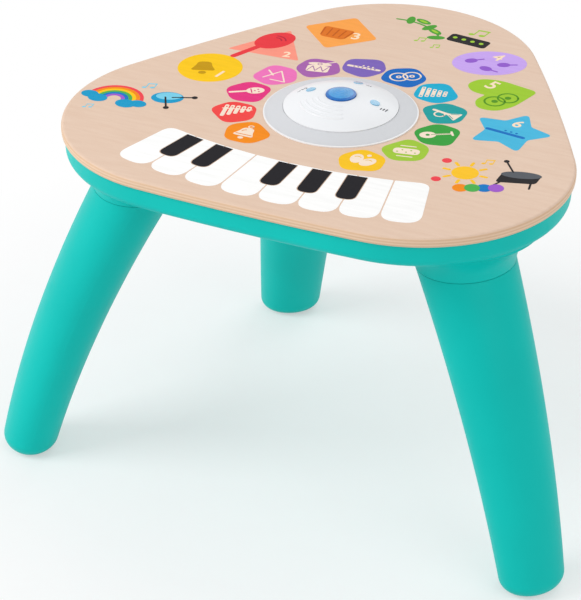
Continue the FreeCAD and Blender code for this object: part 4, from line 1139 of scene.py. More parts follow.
@dataclass
class Keyboard:
    """The printed octave along the front, a fan about a centre behind the table.

    Attributes:
        centre_back: How far the fan's centre lies behind the table's axis.
        back_radius, front_radius: From the fan's centre to the keys' two ends.
        key_angle, key_gap: The angle of one white key, and the bare line between two.
        white_count: How many white keys there are.
        end_round, back_round: Where a white key's front and back corners start to round.
        corner_round: The same for the outer back corners of the row.
        black_width, black_length: A black key's size.
        black_start: How far the black keys start behind the white keys' back edge.
        black_end_round, black_back_round: Where a black key's corners start to round.
        line_width, line_end_round: Width and front round of the pale line round a black key.
        bare_place: Which of each four places between white keys has no black key.
        white_rise, line_rise, black_rise: Heights of the inks over the top.
        round_steps: Spans in each round.
        white, black, line: The inks' colours.
    """

    centre_back: float = 350.0
    back_radius: float = 455.0
    front_radius: float = 524.0
    key_angle: float = 3.9
    key_gap: float = 1.3
    white_count: int = 8
    end_round: float = 15.0
    back_round: float = 1.0
    corner_round: float = 10.0
    black_width: float = 17.0
    black_length: float = 41.0
    black_start: float = 1.2
    black_end_round: float = 7.5
    black_back_round: float = 0.6
    line_width: float = 0.7
    line_end_round: float = 8.0
    bare_place: int = 2
    white_rise: float = 0.1
    line_rise: float = 0.14
    black_rise: float = 0.18
    round_steps: int = 8
    white: Colour = (252, 252, 251)
    black: Colour = (22, 20, 26)
    line: Colour = (205, 178, 156)

    NO_BARE_PLACE = -1
    PLACES_IN_TURN = 4.0

    def white_key(self, first_round: float, last_round: float) -> Outline:
        """Draw one white key, pointing along -Y from the fan's centre.

        Args:
            first_round: Where its first back corner starts to round.
            last_round: Where its other back corner starts to round.

        Returns:
            Its outline.
        """
        half = math.radians(self.key_angle / 2.0)
        side = self.key_gap / 2.0
        back, front = self.back_radius, self.front_radius
        corners = []
        for radius, way in ((back, -1), (back, 1), (front, 1), (front, -1)):
            corners.append((way * (radius * math.sin(half) - side), -radius * math.cos(half)))
        rounds = [first_round, last_round, self.end_round, self.end_round]
        return rounded(corners, rounds, self.round_steps)

    def black_key(self, border: float, end_round: float) -> Outline:
        """Draw one black key, or the line that shows round it.

        Args:
            border: How far it reaches past the key's sides and front.
            end_round: Where its front corners start to round.

        Returns:
            Its outline.
        """
        half = self.black_width / 2.0 + border
        back = -(self.back_radius + self.black_start)
        front = back - self.black_length - border
        corners = [(-half, back), (half, back), (half, front), (-half, front)]
        rounds = [self.black_back_round, self.black_back_round, end_round, end_round]
        return rounded(corners, rounds, self.round_steps)

    def fan(
        self,
        name: str,
        outline: Outline,
        count: int,
        first: float,
        bare_place: int,
        finish: PrintInk,
        rise: float,
    ) -> None:
        """Grow one kind of key round the fan's centre.

        Args:
            name: The piece's name.
            outline: One key about the fan's centre.
            count: How many places there are.
            first: The first place's angle from -Y in degrees.
            bare_place: Which of each four places stays empty, or NO_BARE_PLACE.
            finish: Its ink.
            rise: Height over the top in millimetres.
        """
        top = Top.from_frame()
        key = stamp(name + "_key", outline, (rise + Print.SINK) * MM, -Print.SINK * MM)
        recipe = Recipe(
            name,
            {
                "Key": ("NodeSocketObject", key),
                "Count": ("NodeSocketInt", count),
                "First angle": ("NodeSocketFloat", math.radians(first)),
                "Step angle": ("NodeSocketFloat", math.radians(self.key_angle)),
                "Fan centre": ("NodeSocketVector", (0.0, top.axis_y + self.centre_back * MM, top.level)),
                "Bare place": ("NodeSocketFloat", float(bare_place)),
                "Material": ("NodeSocketMaterial", finish.material()),
            },
        )
        given = recipe.given.outputs
        turn = recipe.series(given["First angle"], given["Step angle"])
        spots = recipe.add("GeometryNodePoints", {"Count": given["Count"], "Position": given["Fan centre"]})
        index = recipe.add("GeometryNodeInputIndex").outputs[0]
        place = recipe.math("MODULO", index, self.PLACES_IN_TURN)
        beside = recipe.math("ABSOLUTE", recipe.math("SUBTRACT", place, given["Bare place"]))
        kept = recipe.math("GREATER_THAN", beside, 0.5)
        copies = recipe.copies(spots.outputs[0], given["Key"], turn, kept)
        report(recipe.build(name, copies), TABLE_BODY)
        bpy.data.objects.remove(key)

    def build(self) -> None:
        """Lay the white and the black keys."""
        self.lay_white_keys()
        self.lay_black_keys()

    def lay_white_keys(self) -> None:
        """Lay the first key, the last key and the keys between them."""
        half_span = self.key_angle * (self.white_count - 1) / 2.0
        finish = PrintInk("ink_white", self.white)
        middle_key = self.white_key(self.back_round, self.back_round)
        first_key = self.white_key(self.corner_round, self.back_round)
        last_key = self.white_key(self.back_round, self.corner_round)
        for name, outline, count, first in (
            ("printed_white_keys", middle_key, self.white_count - 2, -half_span + self.key_angle),
            ("printed_first_key", first_key, 1, -half_span),
            ("printed_last_key", last_key, 1, half_span),
        ):
            self.fan(name, outline, count, first, self.NO_BARE_PLACE, finish, self.white_rise)

    def lay_black_keys(self) -> None:
        """Lay the black keys and the pale lines round them."""
        first = -self.key_angle * (self.white_count - 2) / 2.0
        key = self.black_key(0.0, self.black_end_round)
        line = self.black_key(self.line_width, self.line_end_round)
        for name, outline, finish, rise in (
            ("printed_black_keys", key, PrintInk("ink_black", self.black, 0.3), self.black_rise),
            ("printed_key_lines", line, PrintInk("ink_key_line", self.line), self.line_rise),
        ):
            self.fan(name, outline, self.white_count - 1, first, self.bare_place, finish, rise)


class Motif(Enum):
    """The plain pictures on the tiles, in their order round the dome."""

    BELL = 0
    PIPES = 1
    MARACA = 2
    TRIANGLE = 3
    DRUM = 4
    FLUTE = 5
    CYMBALS = 6
    BARS = 7
    HORN = 8
    LUTE = 9
    SHAKER = 10
    CASTANETS = 11


def motif_outlines(motif: Motif) -> list[Outline]:
    """Draw one plain picture about the origin, about 22 mm across.

    Args:
        motif: Which picture.

    Returns:
        Its outlines in millimetres.
    """
    line = 1.1
    drawings = {
        Motif.BELL: lambda: [
            rounded([(-8, -5), (-5, 1), (-4, 7), (4, 7), (5, 1), (8, -5)], 3.0),
            oval((0, -7.6), 2.0, 1.6),
            hoop((0, 9.2), 1.7, 0.9),
        ],
        Motif.PIPES: lambda: [stroke([(-8 + 4 * i, 8), (-8 + 4 * i, -7 + 2.6 * i)], 2.9) for i in range(5)]
        + [stroke([(-10, 3.5), (10, 5)], line)],
        Motif.MARACA: lambda: [oval((3.5, 4.5), 6.4, 4.8, 45), stroke([(-1, 0), (-9, -8)], 2.2)],
        Motif.TRIANGLE: lambda: [
            stroke([(-2, -7), (9, -7)], line),
            stroke([(9, -7), (0, 8)], line),
            stroke([(0, 8), (-8, -6)], line),
            stroke([(-9, 6), (-3, 0)], 1.3),
        ],
        Motif.DRUM: lambda: [
            rounded([(-8, -7), (8, -7), (8, 3), (-8, 3)], 2.5),
            oval((0, 5.6), 8.4, 2.6),
            stroke([(3, 7), (10, 11)], line),
        ],
        Motif.FLUTE: lambda: [stroke([(-11, -3), (11, 3)], 2.6)]
        + [dot(-2 + 3.4 * i, 2.6 + 0.9 * i, 0.8) for i in range(3)],
        Motif.CYMBALS: lambda: [
            hoop((-4, -2), 6.2, 1.2),
            hoop((4, 3), 6.2, 1.2),
            oval((-4, -2), 2, 2),
            oval((4, 3), 2, 2),
        ],
        Motif.BARS: lambda: [
            rounded(
                [(-10 + 4 * i, -8 + i), (-7.2 + 4 * i, -8 + i), (-7.2 + 4 * i, 8 - i), (-10 + 4 * i, 8 - i)],
                1.0,
            )
            for i in range(5)
        ],
        Motif.HORN: lambda: [
            rounded([(-11, -1.2), (2, -1.2), (10, -6), (10, 6), (2, 1.2), (-11, 1.2)], 1.5),
            hoop((-3, -3.4), 3.6, line),
        ],
        Motif.LUTE: lambda: [
            oval((-5, -3), 5.6, 4.6, 30),
            stroke([(-1, -0.6), (9, 5.4)], 1.8),
            stroke([(8, 7.6), (10.6, 3.4)], 1.6),
        ],
        Motif.SHAKER: lambda: [
            rounded([(-9, -4), (9, -4), (9, 4), (-9, 4)], 4.0),
            stroke([(-5, 7.4), (5, 7.4)], line),
            stroke([(-5, -7.4), (5, -7.4)], line),
        ],
        Motif.CASTANETS: lambda: [
            oval((-4.4, 0), 4.4, 6.4, 18),
            oval((4.4, 0), 4.4, 6.4, -18),
            oval((0, 8), 1.6, 1.6),
        ],
    }
    return drawings[motif]()


def motif_details(motif: Motif) -> list[Outline]:
    """Draw the thin lines and dots inside one plain picture, in the tile's own colour.

    Args:
        motif: Which picture.

    Returns:
        Their outlines in millimetres, or none for a picture without any.
    """
    drawings = {
        Motif.BELL: lambda: [
            stroke([(-5.6, -2.6), (5.6, -2.6)], 0.8),
            stroke(arc((0, 1), 3.2, 110, 170, 5), 0.7),
        ],
        Motif.PIPES: lambda: [dot(-8 + 4 * i, 6.4) for i in range(5)],
        Motif.MARACA: lambda: [
            stroke([(-0.6, 4.6), (3.6, 0.4)], 0.8),
            dot(4, 7),
            dot(6.6, 4.4),
            dot(3.4, 4),
        ],
        Motif.DRUM: lambda: [
            stroke([(-7 + 2.8 * i, 1.6 if i % 2 else -5.6), (-4.2 + 2.8 * i, -5.6 if i % 2 else 1.6)], 0.6)
            for i in range(5)
        ]
        + [hoop((0, 5.6), 1.5, 0.5)],
        Motif.FLUTE: lambda: [dot(-7 + 3 * i, -1.9 + 0.82 * i) for i in range(6)],
        Motif.CYMBALS: lambda: [dot(-4, -2, 0.8), dot(4, 3, 0.8)],
        Motif.BARS: lambda: [dot(-8.6 + 4 * i, side * (6 - i)) for i in range(5) for side in (-1, 1)],
        Motif.HORN: lambda: [
            stroke([(3.4, -1.2), (8.2, -3.8)], 0.6),
            stroke([(3.4, 1.2), (8.2, 3.8)], 0.6),
        ],
        Motif.LUTE: lambda: [dot(-5, -3, 1.4), stroke([(-3, -1.6), (8, 5)], 0.5)],
        Motif.SHAKER: lambda: [dot(-6 + 3 * i, 1.4 if i % 2 else -1.4) for i in range(5)],
        Motif.CASTANETS: lambda: [stroke(arc((side * 4.4, 0), 3.0, 60, 150, 5), 0.7) for side in (-1, 1)],
    }
    return drawings[motif]() if motif in drawings else []


def motif_placed(motif: Motif, centre: Spot, turn: float, size: float) -> list[Outline]:
    """One plain picture, scaled, turned by degrees and moved to a centre."""
    return [placed(outline, centre, turn, size) for outline in motif_outlines(motif)]


@dataclass
class SoundTiles:
    """Twelve coloured tiles in an open ring round the dome, each with its own plain picture.

    Attributes:
        reach: From the table's axis to a tile's middle.
        first: The first tile's azimuth, at the lower left.
        step: The angle from one tile to the next, clockwise.
        half: Half of a tile's size.
        sway: The largest small turn of a tile, in radians.
        seed: The seed of the tiles' small turns.
        corners: A tile's corners, for half a size of 1.
        corner_round: Where its corners start to round.
        round_steps: Spans in each round.
        zoom: How much larger the pictures are than their drawings.
        lean: The most that a picture leans, in degrees.
        lean_pace: How fast the lean changes from one tile to the next, in radians.
        detail_shade: How dark a picture's fine lines are beside their tile.
        colours: The tiles' inks in order.
        pale: The pictures' ink.
    """

    reach: float = 91.7
    first: float = 231.0
    step: float = -25.93
    half: float = 21.4
    sway: float = 0.45
    seed: int = 5
    corners: tuple[Spot, ...] = ((1.02, 0.05), (0.28, 1.0), (-0.86, 0.78), (-0.86, -0.74), (0.3, -0.98))
    corner_round: float = 9.5
    round_steps: int = 8
    zoom: float = 1.28
    lean: float = 14.0
    lean_pace: float = 2.1
    detail_shade: float = 0.94
    colours: tuple[Colour, ...] = (
        (244, 140, 24),
        (240, 72, 70),
        (228, 52, 128),
        (238, 116, 186),
        (166, 98, 172),
        (124, 100, 184),
        (16, 104, 190),
        (20, 172, 208),
        (28, 158, 158),
        (56, 158, 62),
        (160, 200, 60),
        (248, 196, 32),
    )
    pale: Colour = (246, 226, 206)

    def tile_outline(self) -> Outline:
        """One rounded five-sided tile about the origin, its point outwards along +X."""
        corners = [(x * self.half, y * self.half) for x, y in self.corners]
        return rounded(corners, self.corner_round, self.round_steps)

    def build(self) -> None:
        """Grow the tiles, ink each in its colour and lay the pictures."""
        tiles = self.grow_tiles()
        self.ink_tiles(tiles)
        report(tiles, TABLE_BODY)
        self.lay_pictures()

    def grow_tiles(self) -> bpy.types.Object:
        """Grow the ring of tiles.

        Returns:
            The tiles as one object, with each tile's number on its mesh.
        """
        top = Top.from_frame()
        tile = stamp("tile_seed", self.tile_outline(), (Print.STEP + Print.SINK) * MM, -Print.SINK * MM)
        recipe = Recipe(
            "sound_tiles",
            {
                "Tile": ("NodeSocketObject", tile),
                "Count": ("NodeSocketInt", len(self.colours)),
                "Reach": ("NodeSocketFloat", self.reach * MM),
                "First angle": ("NodeSocketFloat", math.radians(self.first)),
                "Step angle": ("NodeSocketFloat", math.radians(self.step)),
                "Axis": ("NodeSocketVector", (0.0, top.axis_y, top.level)),
                "Sway": ("NodeSocketFloat", self.sway),
                "Seed": ("NodeSocketInt", self.seed),
                "Material": ("NodeSocketMaterial", ink("tile", self.pale)),
            },
        )
        given = recipe.given.outputs
        index = recipe.add("GeometryNodeInputIndex").outputs[0]
        turn = recipe.series(given["First angle"], given["Step angle"])
        away = recipe.add(
            "ShaderNodeCombineXYZ",
            {
                "X": recipe.math("MULTIPLY", recipe.math("COSINE", turn), given["Reach"]),
                "Y": recipe.math("MULTIPLY", recipe.math("SINE", turn), given["Reach"]),
            },
        ).outputs[0]
        place = recipe.add("ShaderNodeVectorMath", {0: away, 1: given["Axis"]}, operation="ADD").outputs[0]
        spots = recipe.add("GeometryNodePoints", {"Count": given["Count"], "Position": place})
        least = recipe.math("MULTIPLY", given["Sway"], -1.0)
        limits = {2: least, 3: given["Sway"], "ID": index, "Seed": given["Seed"]}
        sway = recipe.add("FunctionNodeRandomValue", limits, data_type="FLOAT").outputs[1]
        flip = recipe.math("MULTIPLY", recipe.math("MODULO", index, 2.0), math.pi)
        spin = recipe.math("ADD", recipe.math("ADD", turn, sway), flip)
        copies = recipe.copies(spots.outputs[0], given["Tile"], spin)
        tagged = recipe.add(
            "GeometryNodeStoreNamedAttribute",
            {"Geometry": copies, "Name": "tile", "Value": index},
            data_type="INT",
            domain="INSTANCE",
        )
        made = recipe.build("sound_tiles", tagged.outputs[0])
        bpy.data.objects.remove(tile)
        return made

    def ink_tiles(self, tiles: bpy.types.Object) -> None:
        """Ink each tile in its own colour.

        Args:
            tiles: The grown tiles.
        """
        numbers = tiles.data.attributes["tile"].data
        tiles.data.materials.clear()
        for number, colour in enumerate(self.colours):
            tiles.data.materials.append(ink(f"tile_{number:02d}", colour))
        for face in tiles.data.polygons:
            face.material_index = numbers[face.vertices[0]].value

    def lay_pictures(self) -> None:
        """Lay one picture on each tile, upright as seen from the keyboard."""
        pale = ink("pale", self.pale)
        pictures = Print("tile_pictures")
        for motif in Motif:
            centre = polar(self.reach, self.first + motif.value * self.step)
            turn = self.lean * math.sin(self.lean_pace * motif.value)
            pictures.lay(pale, 1, *motif_placed(motif, centre, turn, self.zoom))
            own = ink(f"detail_{motif.value:02d}", shade(self.colours[motif.value], self.detail_shade))
            details = [placed(outline, centre, turn, self.zoom) for outline in motif_details(motif)]
            pictures.lay(own, 2, *details)
        pictures.finish()


@dataclass
class Shapes:
    """The six large touch shapes, with a plain number and a plain picture each.

    Places are in millimetres from the table's axis, and turns are in degrees.

    Attributes:
        disc_at, disc_radius, disc_bell_at: The yellow disc, and the place of the bell on it.
        triangle, maraca_at: The coral triangle's corners, and the place of the maraca's head.
        square_at, square_half, square_turn, harp: The orange square, and its harp's corners.
        egg_at, egg_size, egg_turn: The lavender oval, with its half axes.
        heart_at, heart_turn, cymbals_at: The lime heart, and the place of the cymbals.
        star_at, star_turn, star_reach, star_points: The blue star.
        star_waist: From its middle to an inner corner, as a share of its reach.
        flute_at: The place of the flute on it.
        picture_size, cymbals_size: How much larger the pictures are than their drawings.
        digit_size: A digit's nominal size for each millimetre of its height.
        digit_growth, digit_rise: How much it is thickened, and its middle's height over the top.
        yellow, coral, orange, lavender, lime, sky, pale: The inks' colours.
    """

    disc_at: Spot = (-144.0, 31.0)
    disc_radius: float = 29.5
    disc_bell_at: Spot = (-150.0, 30.0)
    triangle: tuple[Spot, ...] = ((-112.0, 134.0), (-148.0, 74.0), (-78.0, 78.0))
    maraca_at: Spot = (-116.0, 108.0)
    square_at: Spot = (-68.0, 150.0)
    square_half: float = 26.0
    square_turn: float = 46.0
    harp: tuple[Spot, ...] = ((-84.0, 136.0), (-60.0, 136.0), (-56.0, 158.0), (-88.0, 158.0))
    egg_at: Spot = (81.0, 148.0)
    egg_size: Spot = (34.0, 25.0)
    egg_turn: float = 24.0
    heart_at: Spot = (113.0, 93.0)
    heart_turn: float = 32.0
    cymbals_at: Spot = (118.0, 82.0)
    star_at: Spot = (146.5, 28.0)
    star_turn: float = -5.5
    star_reach: float = 38.0
    star_waist: float = 0.56
    star_points: int = 5
    flute_at: Spot = (144.0, 24.0)
    picture_size: float = 1.5
    cymbals_size: float = 1.45
    digit_size: float = 1.35
    digit_growth: float = 0.35 * MM
    digit_rise: float = 0.042 * MM
    yellow: Colour = (250, 200, 20)
    coral: Colour = (250, 150, 130)
    orange: Colour = (250, 164, 76)
    lavender: Colour = (200, 166, 240)
    lime: Colour = (158, 202, 48)
    sky: Colour = (72, 184, 222)
    pale: Colour = (252, 226, 196)

    def heart(self) -> Outline:
        """Draw a heart about the origin with a blunt point along +X.

        Returns:
            Its outline.
        """
        lobe = [(-25, 9), (-26, 24), (-12, 33), (6, 27)]
        mirrored = [(x, -y) for x, y in lobe[::-1]]
        rounds = [1.5, 7.0, 7.0, 8.0, 9.0, 7.0, 9.0, 8.0, 7.0, 7.0]
        return rounded([(-14, 0), *lobe, (34, 0), *mirrored], rounds, 8)

    def star(self) -> Outline:
        """Draw a star about the origin with soft points.

        Returns:
            Its outline.
        """
        corners, rounds = [], []
        for step in range(2 * self.star_points):
            outer = step % 2 == 0
            reach = self.star_reach if outer else self.star_reach * self.star_waist
            corners.append(polar(reach, 90 + step * 180 / self.star_points))
            rounds.append(7.0 if outer else 2.5)
        return rounded(corners, rounds, 5)

    def numbers(self, words: dict[str, tuple[Spot, float, float]], finish: Material) -> None:
        """Print plain numbers as one piece.

        Args:
            words: For each sign its middle, its turn in degrees and its height in millimetres.
            finish: Their ink.
        """
        top = Top.from_frame()
        whole = bmesh.new()
        for sign, (middle, turn, height) in words.items():
            text = bpy.data.curves.new("sign", "FONT")
            text.body = sign
            text.align_x = "CENTER"
            text.align_y = "CENTER"
            text.size = height * self.digit_size * MM
            text.offset = self.digit_growth
            text.extrude = (Print.STEP * 2 + Print.SINK) / 2 * MM
            data = plain_mesh(linked("sign", text))
            spot = Vector((middle[0] * MM, middle[1] * MM + top.axis_y, top.level + self.digit_rise))
            data.transform(Matrix.Translation(spot) @ Matrix.Rotation(math.radians(turn), 4, "Z"))
            whole.from_mesh(data)
        for face in whole.faces:
            face.material_index = 0
        report(mesh_object("printed_signs", whole, [finish]), TABLE_BODY)

    def lay_shapes(self) -> None:
        """Lay the six plain shapes."""
        half = self.square_half
        square = [(-half, -half), (half, -half), (half, half), (-half, half)]
        shapes = Print("touch_shapes")
        disc = oval(self.disc_at, self.disc_radius, self.disc_radius, 0, 64)
        shapes.lay(ink("yellow", self.yellow), 0, disc)
        shapes.lay(ink("coral", self.coral), 0, rounded(self.triangle, 3.0))
        turned = placed(square, self.square_at, self.square_turn)
        shapes.lay(ink("orange", self.orange), 0, rounded(turned, 5.0))
        shapes.lay(ink("lavender", self.lavender), 0, oval(self.egg_at, *self.egg_size, self.egg_turn, 64))
        shapes.lay(ink("lime", self.lime), 0, placed(self.heart(), self.heart_at, self.heart_turn))
        shapes.lay(ink("sky", self.sky), 0, placed(self.star(), self.star_at, self.star_turn))
        shapes.finish()

    def lay_pictures(self) -> None:
        """Lay a plain picture on each shape."""
        pictures = Print("shape_pictures")
        bell = placed(motif_outlines(Motif.BELL)[0], self.disc_bell_at, 20, self.picture_size)
        knob = placed(oval((0, -8), 2.4, 2.0), self.disc_bell_at, 20, self.picture_size)
        pictures.lay(ink("ochre", (196, 150, 0)), 1, bell, knob)

        handle = stroke([(-124, 90), (-136, 62)], 6.0)
        pictures.lay(ink("red", (232, 56, 64)), 1, oval(self.maraca_at, 21, 15, 62), handle)
        bands = [stroke(arc(self.maraca_at, radius, 20, 100, 8), 1.4) for radius in (6, 10)]
        pictures.lay(ink("deep_red", (184, 34, 60)), 2, *bands)

        pictures.lay(ink("burnt_orange", (222, 116, 30)), 1, rounded(self.harp, 5.0))
        strings = [stroke([(-84 + 6 * i, 140), (-86 + 7 * i, 155)], 1.3) for i in range(5)]
        pictures.lay(ink("rust", (196, 92, 18)), 2, *strings)

        violet = ink("violet", (146, 92, 204))
        for centre, turn in (((64, 146), 40), ((82, 136), -10), ((94, 150), 25)):
            stem = placed(stroke([(5, 0), (12, 0)], 1.8), centre, turn)
            pictures.lay(violet, 1, oval(centre, 6, 4.4, turn), stem)

        cymbals = motif_placed(Motif.CYMBALS, self.cymbals_at, 20, self.cymbals_size)
        pictures.lay(ink("deep_green", (84, 146, 30)), 1, *cymbals)
        flute = motif_placed(Motif.FLUTE, self.flute_at, -22, self.picture_size)
        pictures.lay(ink("deep_blue", (22, 112, 190)), 1, *flute)
        pictures.finish()

    def build(self) -> None:
        """Lay the shapes, their pictures and their numbers."""
        self.lay_shapes()
        self.lay_pictures()
        signs = {
            "1": ((-130, 22), -8, 14.0),
            "2": ((-93, 85), 12, 11.0),
            "3": ((-52, 148), 12, 14.0),
            "4": ((84, 162), -12, 14.0),
            "5": ((100, 106), -18, 16.0),
            "6": ((148, 44), -14, 13.0),
        }
        self.numbers(signs, ink("sign", self.pale))


@dataclass
class CornerPictures:
    """Plain decorations near the three corners, in the table's own colours.

    Places are in millimetres from the table's axis.

    Attributes:
        rainbow_at, rainbow_radius: The middle of the rainbow's foot, and its outer band.
        band_pitch, band_width: From one band to the next, and a band's width.
        cloud_squash: A cloud's height as a share of its width.
        left_drum_at, black_box_at: The middles of the small drum and of the box of dots.
        sun_at, sun_radius, ray_start, ray_end, ray_count: The sun and its rays.
        bead_at, bead_radius: The first bead of the string, and a bead's size.
        blue, light_blue, black, green, lime, yellow, red, grey: The inks' colours.
        rainbow: The bands' colours, from the outside in.
        inks, bands: The mixed inks by name, and the rainbow's.
    """

    rainbow_at: Spot = (-192.0, -62.0)
    rainbow_radius: float = 25.0
    band_pitch: float = 3.4
    band_width: float = 3.3
    cloud_squash: float = 0.8
    left_drum_at: Spot = (-150.0, -40.0)
    black_box_at: Spot = (46.0, 184.0)
    sun_at: Spot = (140.0, -58.0)
    sun_radius: float = 11.5
    ray_start: float = 14.0
    ray_end: float = 19.0
    ray_count: int = 8
    bead_at: Spot = (146.0, -84.0)
    bead_radius: float = 6.6
    blue: Colour = (22, 154, 200)
    light_blue: Colour = (122, 206, 232)
    black: Colour = (34, 32, 34)
    green: Colour = (76, 158, 52)
    lime: Colour = (160, 204, 60)
    yellow: Colour = (250, 196, 40)
    red: Colour = (238, 70, 80)
    grey: Colour = (88, 92, 98)
    rainbow: tuple[Colour, ...] = (
        (238, 70, 80),
        (244, 140, 24),
        (250, 200, 20),
        (76, 176, 80),
        (16, 120, 196),
        (160, 92, 204),
    )
    inks: dict[str, Material] = field(default_factory=dict)
    bands: list[Material] = field(default_factory=list)

    def quaver(self, centre: Spot, turn: float, size: float) -> list[Outline]:
        """Draw a pair of beamed notes.

        Args:
            centre: Their middle.
            turn: Their turn in degrees.
            size: Their size beside the drawing.

        Returns:
            Their outlines.
        """
        notes = [
            oval((-4, -5), 2.6, 1.9, 20, 20),
            oval((5, -3.4), 2.6, 1.9, 20, 20),
            stroke([(-1.9, -5), (-1.9, 5)], 1.1),
            stroke([(7.1, -3.4), (7.1, 6.6)], 1.1),
            stroke([(-1.9, 5), (7.1, 6.6)], 2.0),
        ]
        return [placed(note, centre, turn, size) for note in notes]

    def stick(self, start: Spot, stop: Spot, knob: float, width: float = 1.6) -> list[Outline]:
        """A drum stick from its start to the knob at its end."""
        return [stroke([start, stop], width), oval(stop, knob, knob, 0, 20)]

    def lay_left(self) -> None:
        """Lay a rainbow on clouds, and a small drum beside it."""
        left = Print("left_corner_picture")
        for index, band in enumerate(self.bands):
            radius = self.rainbow_radius - self.band_pitch * index
            left.lay(band, 0, stroke(arc(self.rainbow_at, radius, 8, 172, 20), self.band_width))
        clouds = (((-216, -62), 8.0), ((-206, -66), 9.0), ((-168, -62), 8.0), ((-178, -66), 9.5))
        for centre, radius in clouds:
            left.lay(self.inks["blue"], 1, oval(centre, radius, radius * self.cloud_squash))
        left.lay(self.inks["blue"], 0, oval(self.left_drum_at, 14.5, 11.0, 20))
        left.lay(self.inks["light_blue"], 1, oval((-150, -37), 11.5, 7.0, 20))
        left.lay(self.inks["black"], 2, *self.stick((-146, -38), (-128, -30), 2.6))
        left.lay(self.inks["black"], 2, *self.stick((-152, -40), (-142, -58), 2.6))
        notes = self.quaver((-176, -26), 8, 0.8) + self.quaver((-206, -84), 10, 0.6)
        left.lay(self.inks["light_blue"], 0, *notes)
        left.finish()

    def lay_back(self) -> None:
        """Lay a leafy twig, and a black box of pale dots beside it."""
        back = Print("back_corner_picture")
        back.lay(self.inks["green"], 0, stroke(arc((-24, 150), 52, 40, 100, 12), 2.2))
        leaves = (((-8, 206), 160), ((2, 196), 60), ((10, 190), 150), ((16, 178), 20), ((-20, 204), 100))
        for centre, turn in leaves:
            back.lay(self.inks["green"], 0, oval(centre, 8.4, 4.0, turn))
        back.lay(self.inks["lime"], 1, oval((-8, 206), 5.0, 1.6, 160, 20), oval((10, 190), 5.0, 1.6, 150, 20))
        box = placed([(-20, -8), (20, -8), (20, 8), (-20, 8)], self.black_box_at, -6)
        back.lay(self.inks["black"], 0, rounded(box, 4.0))
        spots = ((32, 186), (41, 185), (50, 184), (59, 183))
        back.lay(self.inks["lime"], 1, *[placed(oval((0, 0), 2.2, 2.2, 0, 16), spot) for spot in spots])
        for centre, turn, size in (((48, 204), -8, 1.1), ((4, 168), 4, 0.7), ((22, 160), 12, 0.6)):
            back.lay(self.inks["lime"], 0, *self.quaver(centre, turn, size))
        back.finish()

    def lay_right(self) -> None:
        """Lay a sun, a string of beads in four of the bands' colours, and a dark drum."""
        right = Print("right_corner_picture")
        right.lay(self.inks["yellow"], 0, oval(self.sun_at, self.sun_radius, self.sun_radius))
        rays = []
        for index in range(self.ray_count):
            azimuth = 360 / self.ray_count * index
            ray = [polar(self.ray_start, azimuth, self.sun_at), polar(self.ray_end, azimuth, self.sun_at)]
            rays.append(stroke(ray, 2.8))
        right.lay(self.inks["yellow"], 0, *rays)
        right.lay(self.inks["red"], 0, oval((118, -44), 4.2, 4.2, 0, 24), oval((122, -78), 4.2, 4.2, 0, 24))
        for index, band in enumerate((self.bands[1], *self.bands[3:])):
            middle = (self.bead_at[0] + 9 * index, self.bead_at[1] + 4 * index)
            right.lay(band, index % 2, oval(middle, self.bead_radius, self.bead_radius, 0, 28))
        right.lay(self.inks["black"], 0, rounded([(168, -62), (200, -52), (200, -36), (168, -44)], 4.0))
        right.lay(self.inks["grey"], 1, oval((184, -42), 17.0, 6.0, 15))
        right.lay(self.inks["black"], 1, *self.stick((176, -40), (164, -24), 2.4))
        legs = [stroke([(172, -60), (168, -70)], 1.8), stroke([(196, -52), (198, -62)], 1.8)]
        right.lay(self.inks["black"], 0, *legs)
        right.lay(self.inks["yellow"], 0, *self.quaver((150, -32), 6, 0.7))
        right.finish()

    def build(self) -> None:
        """Mix the inks and lay the three decorations."""
        self.bands = [ink(f"corner_rainbow_{index}", colour) for index, colour in enumerate(self.rainbow)]
        for name in ("blue", "light_blue", "black", "lime", "green", "yellow", "red", "grey"):
            self.inks[name] = ink("corner_" + name, getattr(self, name))
        self.lay_left()
        self.lay_back()
        self.lay_right()


@dataclass(frozen=True)
class Ball:
    """The ball that the dome is cut from.

    Attributes:
        radius: Its radius.
        centre_z: Its centre's height.
        axis_y: Its centre's Y.
    """

    radius: float
    centre_z: float
    axis_y: float

    EDGE = 0.05 * MM

    @staticmethod
    def from_frame() -> "Ball":
        """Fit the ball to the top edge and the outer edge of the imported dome.

        Returns:
            The ball.
        """
        axis_y = Top.from_frame().axis_y
        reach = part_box("dome_cover")[1].x
        rows = []
        for vertex in frame["nodes"]["dome_cover"].data.vertices:
            rows.append((math.hypot(vertex.co.x, vertex.co.y - axis_y), vertex.co.z))
        inner_reach, inner_z = max(rows, key=lambda row: row[1])
        edge_z = max(z for away, z in rows if away > reach - Ball.EDGE)
        squares = inner_z**2 + inner_reach**2 - edge_z**2 - reach**2
        centre_z = squares / (2.0 * (inner_z - edge_z))
        return Ball(math.hypot(reach, edge_z - centre_z), centre_z, axis_y)

    def height(self, x: float, y: float) -> float:
        """The height of the ball's surface over a spot, in metres."""
        return self.centre_z + math.sqrt(self.radius**2 - x**2 - (y - self.axis_y) ** 2)


